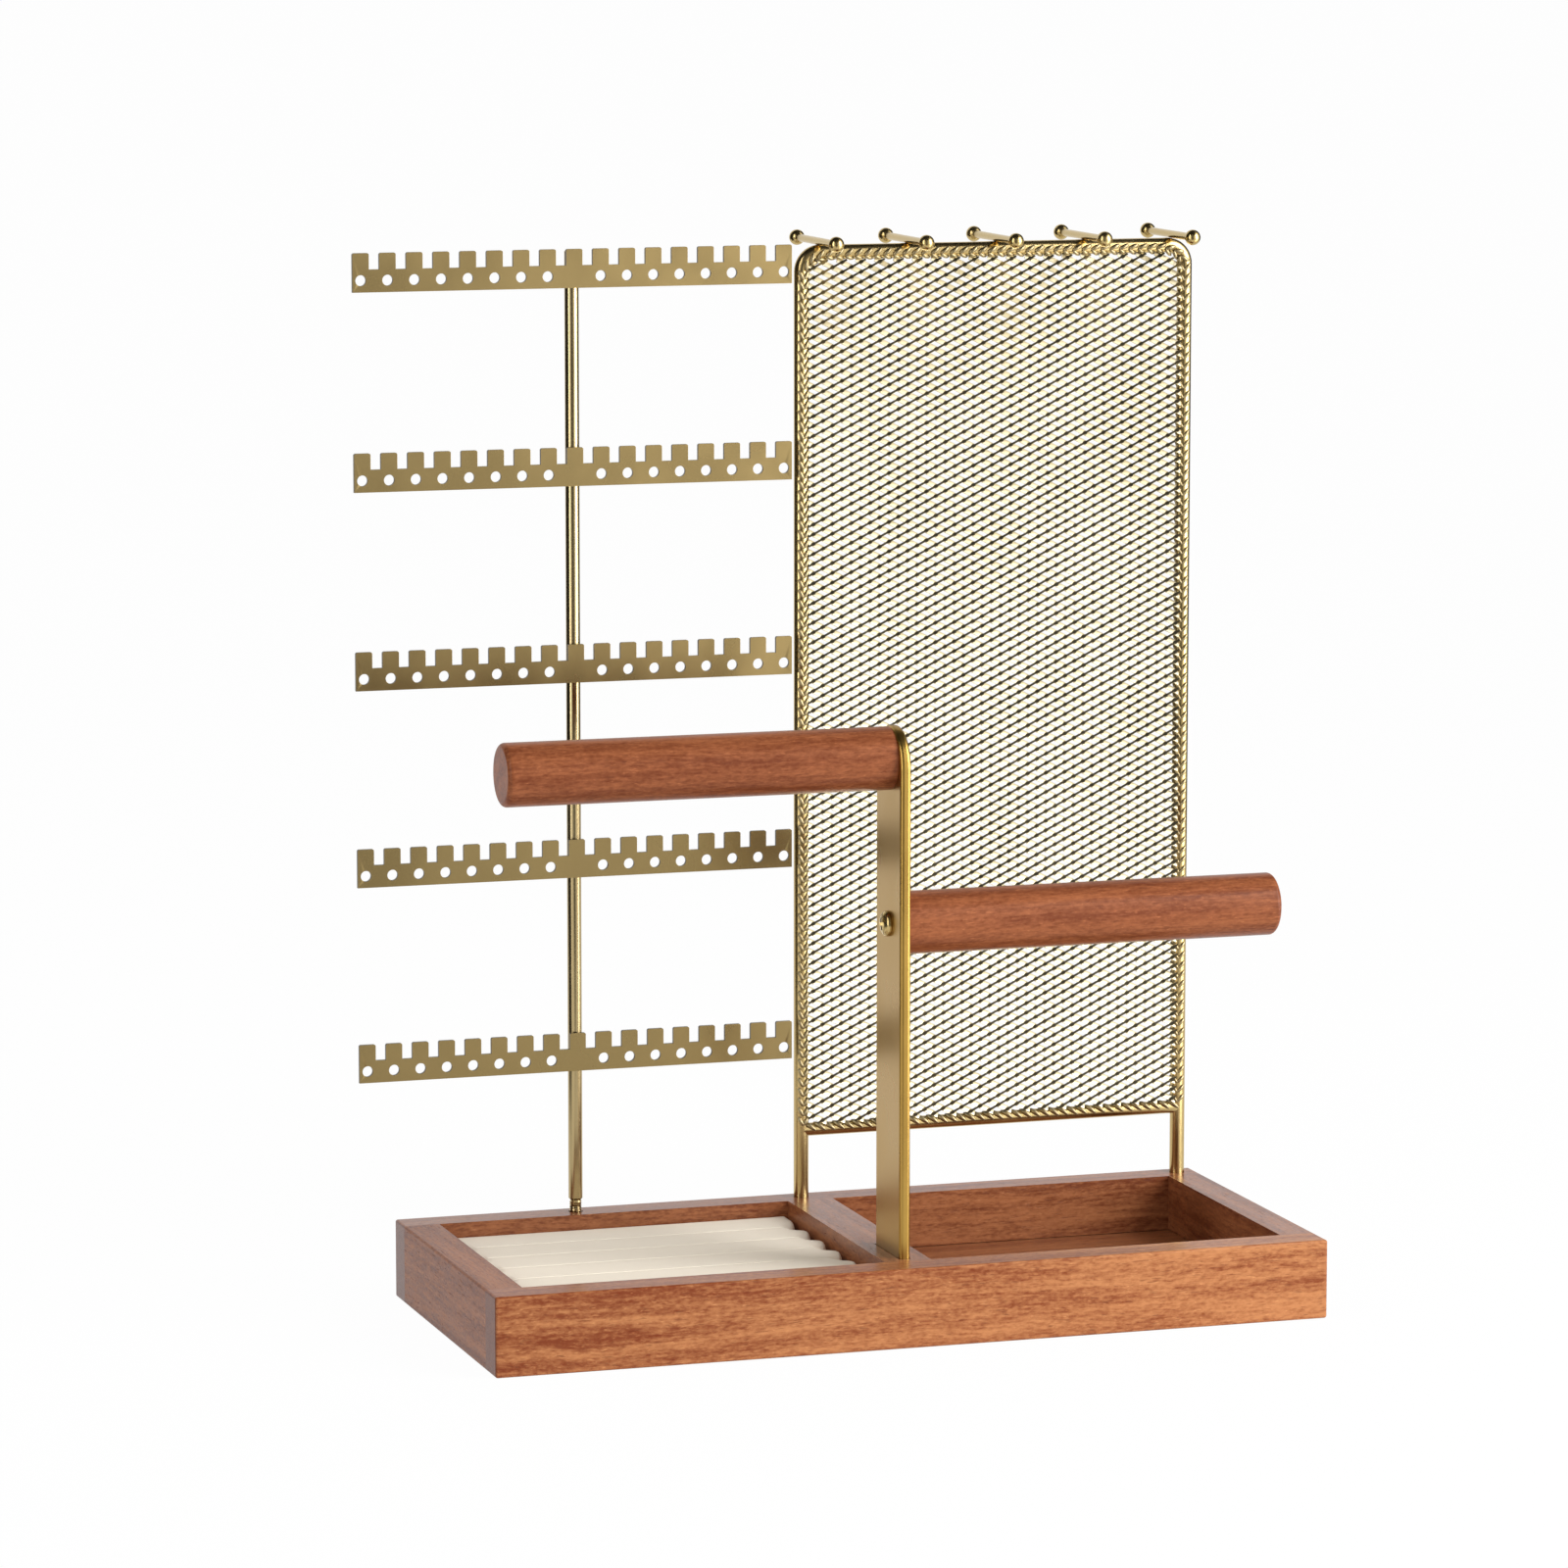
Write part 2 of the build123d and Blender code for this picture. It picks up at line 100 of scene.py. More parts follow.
class Sheet:
    """Adds and links the nodes of one node tree."""

    def __init__(self, tree: Tree) -> None:
        """Work on the given tree."""
        self.tree = tree

    def feed(self, socket: Socket, value: object) -> None:
        """Link a socket, or set a value, into an input socket.

        Args:
            socket: the input.
            value: an output socket or a plain value.
        """
        if isinstance(value, Socket):
            self.tree.links.new(value, socket)
        else:
            set_value(socket, value)

    def node(self, kind: str, inputs: dict | None = None, **settings: object) -> bpy.types.Node:
        """Add one node.

        Args:
            kind: the node's type.
            inputs: a value or an output socket for each input, by name or number.
            settings: attributes of the node.

        Returns:
            The new node.
        """
        made = self.tree.nodes.new(kind)
        for key, value in settings.items():
            setattr(made, key, value)
        for key, value in (inputs or {}).items():
            self.feed(made.inputs[key], value)
        return made

    def out(self, kind: str, inputs: dict | None = None, **settings: object) -> Socket:
        """Add one node and return its first output."""
        return self.node(kind, inputs, **settings).outputs[0]

    def math(self, operation: str, *values: object) -> Socket:
        """Add a Math node and return its result."""
        return self.out("ShaderNodeMath", dict(enumerate(values)), operation=operation)

    def vector(self, operation: str, *values: object) -> Socket:
        """Add a Vector Math node and return its vector."""
        return self.out("ShaderNodeVectorMath", dict(enumerate(values)), operation=operation)

    def split(self, vector: object) -> tuple[Socket, Socket, Socket]:
        """Split a vector into its three parts."""
        return tuple(self.node("ShaderNodeSeparateXYZ", {0: vector}).outputs)

    def weigh(self, *layers: tuple[object, float]) -> Socket:
        """Add up values, each times its strength.

        Args:
            layers: each value with its strength.

        Returns:
            The sum.
        """
        total = 0.0
        for value, strength in layers:
            total = self.math("MULTIPLY_ADD", value, strength, total)
        return total

    def noise(self, place: object, scale: Point, detail: float = 2.0, rough: float = 0.5) -> Socket:
        """Add a noise whose three scales are given.

        Args:
            place: the coordinates in millimetres.
            scale: how often it varies for each millimetre, along each axis.
            detail: octaves.
            rough: strength of the finer octaves.

        Returns:
            The noise between 0 and 1.
        """
        spread = self.vector("MULTIPLY", place, scale)
        inputs = {"Vector": spread, "Scale": 1.0, "Detail": detail, "Roughness": rough}
        return self.out("ShaderNodeTexNoise", inputs)

    def remap(
        self, value: object, low: float, high: float, to_low: float = 0.0, to_high: float = 1.0
    ) -> Socket:
        """Stretch a range of values to another, clamped and smooth."""
        inputs = {"Value": value, "From Min": low, "From Max": high, "To Min": to_low, "To Max": to_high}
        return self.out("ShaderNodeMapRange", inputs, interpolation_type="SMOOTHSTEP")

    def blend(self, share: object, first: object, second: object, how: str = "MIX") -> Socket:
        """Mix two colours by a share and return the result."""
        inputs = {0: share, 6: first, 7: second}
        return self.node("ShaderNodeMix", inputs, data_type="RGBA", blend_type=how).outputs[2]


class ShaderGroup(Sheet):
    """A shader effect with named inputs that several materials share: a colour, a roughness and a height."""

    def __init__(self, name: str, **inputs: str) -> None:
        """Make an empty group.

        Args:
            name: the group's name.
            inputs: the socket type of each input besides the place.
        """
        super().__init__(bpy.data.node_groups.new(name, "ShaderNodeTree"))
        for way, sockets in (("INPUT", {"Place": VECTOR, **inputs}), ("OUTPUT", EFFECT)):
            for label, kind in sockets.items():
                self.tree.interface.new_socket(label, in_out=way, socket_type=kind)
        self.given = self.node("NodeGroupInput").outputs

    def end(self, colour: Socket, roughness: Socket, height: Socket) -> Tree:
        """Give the results out and return the group's tree."""
        self.node("NodeGroupOutput", {"Color": colour, "Roughness": roughness, "Height": height})
        return self.tree


def wood_grain() -> Tree:
    """Make the group of the stained wood, whose grain runs along X.

    Returns:
        The group, with soft bands, streaks, short dashes, flakes, a cross figure, pores and flecks.
    """
    g = ShaderGroup("Wood grain", Light=COLOR, Dark=COLOR, Pore=COLOR, Figure=FLOAT, Drift=FLOAT)
    straight = g.given["Place"]
    slow = g.vector("MULTIPLY", straight, (0.011, 0.02, 0.02))
    sway = g.node("ShaderNodeTexNoise", {"Vector": slow, "Scale": 1.0}).outputs[1]
    place = g.vector("ADD", straight, g.vector("MULTIPLY", sway, (0.0, 6.0, 6.0)))
    slant = g.out("ShaderNodeMapping", {"Vector": place, "Rotation": (0.0, math.radians(24), 0.0)})
    bands = g.noise(place, (0.010, 0.24, 0.24))
    streaks = g.noise(place, (0.035, 0.75, 0.75), 3.0, 0.6)
    dashes = g.noise(place, (0.17, 1.10, 1.10), 2.0, 0.6)
    flakes = g.noise(place, (0.55, 1.20, 1.20), 2.0, 0.6)
    figure = g.noise(slant, (0.16, 0.80, 0.80))
    strengths = ((bands, 0.95), (streaks, 0.65), (dashes, 0.80), (flakes, 0.75), (figure, g.given["Figure"]))
    # Drift tilts the tone along X, which on the front rail is painted light.
    tone = g.math("MULTIPLY_ADD", g.split(straight)[0], g.given["Drift"], 0.5)
    for layer, strength in strengths:
        tone = g.math("MULTIPLY_ADD", g.math("SUBTRACT", layer, 0.5), strength, tone)
    pore = g.remap(g.noise(place, (0.24, 2.1, 2.1), 1.0), 0.63, 0.75)
    elsewhere = g.vector("ADD", place, (71.0, 13.0, 29.0))
    fleck = g.remap(g.noise(elsewhere, (0.45, 1.9, 1.9), 1.0), 0.64, 0.78)
    colour = g.blend(g.remap(tone, 0.05, 0.95), g.given["Dark"], g.given["Light"])
    colour = g.blend(g.math("MULTIPLY", pore, 0.5), colour, g.given["Pore"])
    colour = g.blend(g.math("MULTIPLY", fleck, 0.4), colour, g.given["Light"], "SCREEN")
    dull = g.math("MULTIPLY_ADD", pore, 0.12, g.remap(dashes, 0.2, 0.8, 0.27, 0.36))
    return g.end(colour, dull, g.weigh((dashes, 0.45), (pore, -1.0)))


def satin_metal() -> Tree:
    """Make the group of the plated metal.

    Returns:
        The group, with soft clouds of tone, fine plating grain and drawing lines.
    """
    g = ShaderGroup("Satin metal", Tone=COLOR, Shade=COLOR, Gloss=FLOAT)
    place = g.given["Place"]
    cloud = g.noise(place, (0.05, 0.05, 0.035), 3.0)
    grain = g.noise(place, (2.6, 2.6, 2.6))
    line = g.noise(place, (0.12, 3.4, 3.4))
    share = g.weigh((g.remap(cloud, 0.3, 0.7), 0.6), (grain, 0.4))
    colour = g.blend(share, g.given["Shade"], g.given["Tone"])
    dull = g.math("ADD", g.given["Gloss"], g.remap(cloud, 0.25, 0.75, -0.03, 0.05))
    return g.end(colour, dull, g.weigh((grain, 0.6), (line, 0.4)))


def velvet_nap() -> Tree:
    """Make the group of the velvet.

    Returns:
        The group, with a short pile, brushed patches and a faint shade in the pile's valleys.
    """
    g = ShaderGroup("Velvet nap", Pile=COLOR, Shade=COLOR)
    place = g.given["Place"]
    pile = g.noise(place, (3.8, 5.2, 5.2), 3.0, 0.65)
    brushed = g.noise(place, (0.06, 0.16, 0.16), 3.0)
    share = g.weigh((pile, 0.75), (g.remap(brushed, 0.3, 0.7), 0.25))
    colour = g.blend(share, g.given["Shade"], g.given["Pile"])
    return g.end(colour, g.remap(pile, 0.2, 0.8, 0.86, 0.98), g.weigh((pile, 1.0), (brushed, 0.6)))


class Surface(Sheet):
    """The shader tree of one material, with a Principled shader fed by one of the groups."""

    def __init__(
        self, name: str, group: Tree, inputs: dict, values: dict, turn: float = 0.0, shift: Point = (0, 0, 0)
    ) -> None:
        """Make the material.

        Args:
            name: the material's name.
            group: the effect that gives colour, roughness and height.
            inputs: values of the effect's named inputs.
            values: constant values of the shader's own sockets.
            turn: turn of the pattern about Z, in radians.
            shift: shift of the pattern, in millimetres.
        """
        self.material, self.shader = new_material(name, values)
        super().__init__(self.material.node_tree)
        self.at = self.node("ShaderNodeTexCoord").outputs["Object"]
        place = self.out(
            "ShaderNodeMapping",
            {"Vector": self.at, "Scale": (1 / MM,) * 3, "Rotation": (0.0, 0.0, turn), "Location": shift},
        )
        effect = self.node("ShaderNodeGroup", {"Place": place, **inputs}, node_tree=group).outputs
        self.colour, self.dull, self.height = (effect[label] for label in EFFECT)

    def dress(self, bump: float, depth: float) -> Material:
        """Link the effect to the shader.

        Args:
            bump: strength of the bump.
            depth: depth of the bump in metres.

        Returns:
            The finished material.
        """
        raised = self.out("ShaderNodeBump", {"Strength": bump, "Distance": depth, "Height": self.height})
        for label, value in (("Base Color", self.colour), ("Roughness", self.dull), ("Normal", raised)):
            self.feed(self.shader.inputs[label], value)
        return self.material


@dataclass(frozen=True)
class WoodFinish:
    """Reddish-brown stain under a satin lacquer, cut from its own place in the plank."""

    name: str
    axis: GrainAxis
    shift: Point
    light: Color = (0.48, 0.20, 0.078)
    dark: Color = (0.19, 0.040, 0.012)
    pore: Color = (0.11, 0.026, 0.010)
    joint: Color = (0.04, 0.014, 0.008)
    figure: float = 0.28
    drift: float = 0.0
    ior: float = 1.34
    coat: float = 0.12
    coat_dull: float = 0.14
    coat_ior: float = 1.45
    bump: float = 0.22
    depth: float = 0.12 * MM
    joint_at: float = 0.0
    joint_width: float = 0.45 * MM
    end_at: float = 0.0
    end_width: float = 0.3 * MM
    line_ease: float = 0.1 * MM
    line_strength: float = 0.8

    def material(self, group: Tree) -> Material:
        """Make the material, with a glue line past joint_at along Y or end grain past end_at along X.

        Args:
            group: the wood grain.

        Returns:
            The material.
        """
        labels = ("Light", "Dark", "Pore", "Figure", "Drift")
        inputs = {label: getattr(self, label.lower()) for label in labels}
        values = {"Coat Weight": self.coat, "Coat Roughness": self.coat_dull, "Coat IOR": self.coat_ior}
        s = Surface(self.name, group, inputs, {"IOR": self.ior, **values}, self.axis.value, self.shift)
        x, y, _ = s.split(s.at)
        joint = (y, self.joint_at, self.joint_width, self.joint)
        end = (x, self.end_at, self.end_width, self.pore)
        for along, edge, width, tone in (joint, end):
            if edge:
                line = s.remap(s.math("ABSOLUTE", along), edge - width, edge - self.line_ease)
                s.colour = s.blend(s.math("MULTIPLY", line, self.line_strength), s.colour, tone)
        return s.dress(self.bump, self.depth)


@dataclass(frozen=True)
class MetalFinish:
    """Plated metal, from satin to polished."""

    name: str
    tone: Color
    shade: Color
    gloss: float
    # edge: a dark tone, painted shade on the faces that the shade mark picks out.
    edge: Color | None = None
    bump: float = 0.06
    depth: float = 0.03 * MM

    def material(self, group: Tree) -> Material:
        """Make the material, with painted shade on the marked faces if it has an edge tone.

        Args:
            group: the satin metal.

        Returns:
            The material.
        """
        inputs = {"Tone": self.tone, "Shade": self.shade, "Gloss": self.gloss}
        s = Surface(self.name, group, inputs, {"Metallic": 1.0})
        if self.edge:
            # Painted shade: the marked faces take the dark edge tone.
            cut = s.node("ShaderNodeAttribute", attribute_name=SHADE_MARK).outputs["Fac"]
            s.colour = s.blend(cut, s.colour, self.edge)
        return s.dress(self.bump, self.depth)


@dataclass(frozen=True)
class ClothFinish:
    """Soft pile or dull board."""

    name: str
    pile: Color
    shade: Color
    sheen: float
    bump: float
    sheen_dull: float = 0.35
    specular: float = 0.2
    depth: float = 0.12 * MM

    def material(self, group: Tree) -> Material:
        """Make the material.

        Args:
            group: the velvet nap.

        Returns:
            The material.
        """
        sheen = {"Sheen Weight": self.sheen, "Sheen Roughness": self.sheen_dull, "Sheen Tint": self.pile}
        values = {**sheen, "Specular IOR Level": self.specular}
        s = Surface(self.name, group, {"Pile": self.pile, "Shade": self.shade}, values)
        return s.dress(self.bump, self.depth)


Finish = WoodFinish | MetalFinish | ClothFinish
GOLD = MetalFinish("Gold satin", (0.47, 0.288, 0.07), (0.41, 0.247, 0.058), 0.28)
# The bar's edge tone is painted shade on the teeth's sides and eased edges.
BAR = MetalFinish("Gold bar", (0.35, 0.255, 0.108), (0.305, 0.22, 0.092), 0.28, edge=(0.035, 0.024, 0.01))
ROD = MetalFinish("Gold rod", (0.58, 0.43, 0.19), (0.51, 0.375, 0.16), 0.21, bump=0.012)
POST = MetalFinish("Gold post", (0.49, 0.38, 0.195), (0.43, 0.33, 0.165), 0.19, bump=0.012)
# The mesh's edge tone is painted shade on the rising strands and the knots.
MESH = MetalFinish("Gold mesh", (0.90, 0.82, 0.60), (0.84, 0.76, 0.54), 0.32, edge=(0.27, 0.235, 0.16))
WRAP = MetalFinish("Gold wrap", (0.42, 0.34, 0.19), (0.31, 0.245, 0.133), 0.38)
BRAID = MetalFinish("Gold braid", (0.37, 0.295, 0.165), (0.27, 0.215, 0.115), 0.38)
BRASS = MetalFinish("Brass polished", (0.56, 0.42, 0.18), (0.49, 0.36, 0.145), 0.2)
STEEL = MetalFinish("Steel zinc", (0.56, 0.56, 0.57), (0.46, 0.46, 0.47), 0.3)
VELVET = ClothFinish("Velvet cream", (0.88, 0.80, 0.68), (0.835, 0.755, 0.635), 0.3, 0.18)
BOARD = ClothFinish("Grey board", (0.46, 0.42, 0.36), (0.36, 0.33, 0.28), 0.0, 0.15)


class Finishes:
    """Makes each material of the stand once, from shared groups."""

    def __init__(self) -> None:
        """Build the shared groups."""
        self.groups = {WoodFinish: wood_grain(), MetalFinish: satin_metal(), ClothFinish: velvet_nap()}
        self.made: dict[Finish, Material] = {}

    def of(self, finish: Finish) -> Material:
        """Give the material of a finish.

        Args:
            finish: the finish.

        Returns:
            Its material, made when it is first asked for.
        """
        if finish not in self.made:
            self.made[finish] = finish.material(self.groups[type(finish)])
        return self.made[finish]

    def paint(self, finish: Finish, *nodes: str) -> None:
        """Give CAD nodes a finish.

        Args:
            finish: the finish.
            nodes: the nodes' names.
        """
        for name in nodes:
            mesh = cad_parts[name].data
            mesh.materials.clear()
            mesh.materials.append(self.of(finish))
            log.info("%s: %s", name, finish.name)


class GeometryTree(Sheet):
    """A Geometry Nodes tree with named inputs, that ends in real geometry with its material."""

    def __init__(self, name: str, **inputs: str) -> None:
        """Make the tree.

        Args:
            name: the tree's name.
            inputs: the socket type of each named input.
        """
        super().__init__(bpy.data.node_groups.new(name, "GeometryNodeTree"))
        sockets = self.tree.interface
        sockets.new_socket("Geometry", in_out="OUTPUT", socket_type=GEOMETRY)
        self.names = {}
        for label, kind in {"Geometry": GEOMETRY, **inputs, "Material": MATERIAL}.items():
            self.names[label] = sockets.new_socket(label, in_out="INPUT", socket_type=kind).identifier
        self.given = self.node("NodeGroupInput").outputs

    def shape(self, label: str) -> Socket:
        """Geometry of the object at a named input."""
        return self.node("GeometryNodeObjectInfo", {"Object": self.given[label]}).outputs["Geometry"]

    def row(self, count: Socket, axis: str, step: Socket, start: object = (0, 0, 0)) -> Socket:
        """Set points in a row along an axis."""
        offset = self.out("ShaderNodeCombineXYZ", {axis: step})
        return self.out("GeometryNodeMeshLine", {"Count": count, "Start Location": start, "Offset": offset})

    def instance(self, points: Socket, shape: Socket, **inputs: object) -> Socket:
        """Put a shape on points and return the instances."""
        return self.out("GeometryNodeInstanceOnPoints", {"Points": points, "Instance": shape, **inputs})

    def join(self, *shapes: Socket) -> Socket:
        """Join shapes into one geometry.

        Args:
            shapes: the shapes.

        Returns:
            The joined geometry.
        """
        made = self.node("GeometryNodeJoinGeometry")
        for shape in shapes:
            self.tree.links.new(shape, made.inputs[0])
        return made.outputs[0]

    def end(self, shape: Socket) -> None:
        """Realize the instances, set the material and give the result out.

        Args:
            shape: the geometry with its instances.
        """
        real = self.out("GeometryNodeRealizeInstances", {0: shape})
        done = self.out("GeometryNodeSetMaterial", {"Geometry": real, "Material": self.given["Material"]})
        self.node("NodeGroupOutput", {0: done})

    def grow(self, host: Piece, **values: object) -> Piece:
        """Run the tree on an object, with any modifiers that follow it, and keep the plain mesh.

        Args:
            host: the object that the tree works on.
            values: a value for each named input.

        Returns:
            The same object with the result as its mesh and no modifiers.
        """
        step = host.modifiers.new("Nodes", "NODES")
        step.node_group = self.tree
        for label, value in values.items():
            step[self.names[label]] = value
        host.modifiers.move(len(host.modifiers) - 1, 0)
        return apply_modifiers(host)


def new_object(name: str, data: bpy.types.ID) -> Piece:
    """Link a new object with this data into the scene.

    Args:
        name: the object's name.
        data: its mesh, light or camera.

    Returns:
        The new object.
    """
    made = bpy.data.objects.new(name, data)
    bpy.context.scene.collection.objects.link(made)
    return made


def empty_object(name: str) -> Piece:
    """Make an object with an empty mesh, for a tree to fill."""
    return new_object(name, bpy.data.meshes.new(name))


def mesh_object(name: str, points: list, faces: list, material: Material | None = None) -> Piece:
    """Make an object from points in metres and faces.

    Args:
        name: the object's name.
        points: the vertices.
        faces: the faces' vertex numbers.
        material: its material, if any.

    Returns:
        The new object.
    """
    made = empty_object(name)
    made.data.from_pydata([tuple(p) for p in points], [], [tuple(f) for f in faces])
    if material:
        made.data.materials.append(material)
    made.data.update()
    return made


def face_outward(piece: Piece) -> None:
    """Turn all faces of a closed mesh outward.

    Args:
        piece: the object with the mesh.
    """
    bm = bmesh.new()
    bm.from_mesh(piece.data)
    bmesh.ops.recalc_face_normals(bm, faces=bm.faces)
    bm.to_mesh(piece.data)
    bm.free()


def mark_painted_shade(piece: Piece, shares: list[float]) -> None:
    """Mark the faces that take painted shade.

    Args:
        piece: the object.
        shares: the painted shade's share for each face.
    """
    corners = [face.loop_total for face in piece.data.polygons]
    mark = piece.data.attributes.new(SHADE_MARK, "FLOAT", "CORNER")
    mark.data.foreach_set("value", np.repeat(np.array(shares, dtype=np.float32), corners))


def apply_modifiers(piece: Piece) -> Piece:
    """Replace an object's mesh by its evaluated one and remove the modifiers.

    Args:
        piece: the object.

    Returns:
        The same object.
    """
    bpy.context.view_layer.update()
    seen = piece.evaluated_get(bpy.context.evaluated_depsgraph_get())
    piece.data = bpy.data.meshes.new_from_object(seen)
    piece.modifiers.clear()
    return piece


def drop(*pieces: Piece) -> None:
    """Remove helper objects from the file."""
    for piece in pieces:
        bpy.data.objects.remove(piece)


def smooth(piece: Piece, angle: float = 32.0) -> Piece:
    """Shade a mesh smooth.

    Args:
        piece: the object.
        angle: edges sharper than this many degrees stay sharp.

    Returns:
        The same object.
    """
    piece.data.shade_smooth()
    piece.data.set_sharp_from_angle(angle=math.radians(angle))
    return piece


def settle(piece: Piece, body: str, slot: str, *nodes: str) -> None:
    """Let a finished piece ride on its body and stand for its nodes.

    Args:
        piece: the finished object.
        body: the body's name.
        slot: not used.
        nodes: the CAD nodes that it replaces, if any.
    """
    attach(piece, body)
    if nodes:
        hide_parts(*nodes)
    log.info("%s: %d faces on %s", piece.name, len(piece.data.polygons), body)


def circle(radius: float, sides: int) -> list[tuple[float, float]]:
    """Points round a circle."""
    turns = [2 * math.pi * k / sides for k in range(sides)]
    return [(radius * math.cos(turn), radius * math.sin(turn)) for turn in turns]


def bridge(rings: int, sides: int, first: int = 0, capped: bool = False) -> list[tuple[int, ...]]:
    """Make the faces between rings of points that follow one another.

    Args:
        rings: number of rings.
        sides: points in each ring.
        first: number of the first point.
        capped: whether the two ends are closed.

    Returns:
        The faces' point numbers.
    """
    starts = [first + ring * sides for ring in range(rings)]
    faces = []
    for low, high in zip(starts, starts[1:]):
        for k in range(sides):
            m = (k + 1) % sides
            faces.append((low + k, low + m, high + m, high + k))
    if capped:
        faces.append(tuple(reversed(range(first, first + sides))))
        faces.append(tuple(range(starts[-1], starts[-1] + sides)))
    return faces


def lathe(profile: list[tuple[float, float]], sides: int) -> Shape:
    """Turn a profile about Z.

    Args:
        profile: radius and height of each ring from bottom to top, with radius 0 at both ends.
        sides: sides of each ring.

    Returns:
        The points and the faces of the closed shape.
    """
    points = [(0.0, 0.0, profile[0][1])]
    for radius, height in profile[1:-1]:
        points += [(x, y, height) for x, y in circle(radius, sides)]
    points.append((0.0, 0.0, profile[-1][1]))
    last = len(points) - 1
    faces = bridge(len(profile) - 2, sides, 1)
    for k in range(sides):
        m = (k + 1) % sides
        faces.append((0, 1 + m, 1 + k))
        faces.append((last - sides + k, last - sides + m, last))
    return points, faces


def tube(path: np.ndarray, radii: np.ndarray, out: np.ndarray, sides: int) -> Shape:
    """Sweep a round section along a short path.

    Args:
        path: points of the middle line.
        radii: half thickness at each point.
        out: a direction across the path at each point.
        sides: sides of the section.

    Returns:
        The points and the faces of the closed tube.
    """
    points = []
    for p, radius, t, o in zip(path, radii, np.gradient(path, axis=0), out):
        t = t / np.linalg.norm(t)
        a = o - t * (o @ t)
        a = a / np.linalg.norm(a)
        b = np.cross(t, a)
        points += [tuple(p + a * x + b * y) for x, y in circle(radius, sides)]
    return points, bridge(len(path), sides, capped=True)


def add_shape(points: list, faces: list, shape: Shape) -> None:
    """Add a shape to lists of points and faces."""
    faces.extend(tuple(i + len(points) for i in face) for face in shape[1])
    points.extend(shape[0])


def join_objects(name: str, parts: list[Piece], material: Material) -> Piece:
    """Join helper objects into one piece with one material.

    Args:
        name: the piece's name.
        parts: the objects, which are removed.
        material: the piece's material.

    Returns:
        The joined piece.
    """
    points, faces = [], []
    for part in parts:
        own_faces = [tuple(face.vertices) for face in part.data.polygons]
        add_shape(points, faces, ([vertex.co.copy() for vertex in part.data.vertices], own_faces))
    drop(*parts)
    return mesh_object(name, points, faces, material)


@dataclass
class Tray:
    """Rails, divider and floor boards of the tray, all kept from the frame."""

    finishes: Finishes
    # Darker copy of the stain, painted shade for the boards behind and beside the front rail.
    shaded_light: Color = (0.36, 0.135, 0.054)
    shaded_dark: Color = (0.14, 0.034, 0.012)
    front_light_drift: float = 0.0006
    floor_figure: float = 0.1

    def dress(self) -> None:
        """Give each board wood of its own, the boards behind and beside the front rail a darker copy as
        painted shade.
        """
        x, y = GrainAxis.ALONG_X, GrainAxis.ALONG_Y
        end = {"end_at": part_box("front_rail")[1].x}
        joint = {"joint_at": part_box("left_end_rail")[1].y}
        # These boards take the darker stain as painted shade.
        shaded_wood = {"light": self.shaded_light, "dark": self.shaded_dark}
        # Drift makes the front rail lighter towards +X, as painted light from the right lamp.
        front = {"drift": self.front_light_drift, "ior": 1.24, "coat": 0.05}
        side = {"ior": 1.18, "coat": 0.03}
        floor = WoodFinish("Wood floor", x, (30, 910, 400), figure=self.floor_figure, **shaded_wood)
        boards = {
            "front_rail": WoodFinish("Wood front", x, (0, 0, 0), **end, **front),
            "rear_rail": WoodFinish("Wood rear", x, (140, 300, 55), **end, **shaded_wood),
            "left_end_rail": WoodFinish("Wood left end", y, (20, 520, 90), **joint, **side, **shaded_wood),
            "right_end_rail": WoodFinish("Wood right end", y, (260, 710, 20), **joint, **shaded_wood),
            "divider": WoodFinish("Wood divider", y, (410, 90, 70), **joint, **shaded_wood),
            "left_floor": floor,
            "right_floor": floor,
        }
        for node, finish in boards.items():
            self.finishes.paint(finish, node)


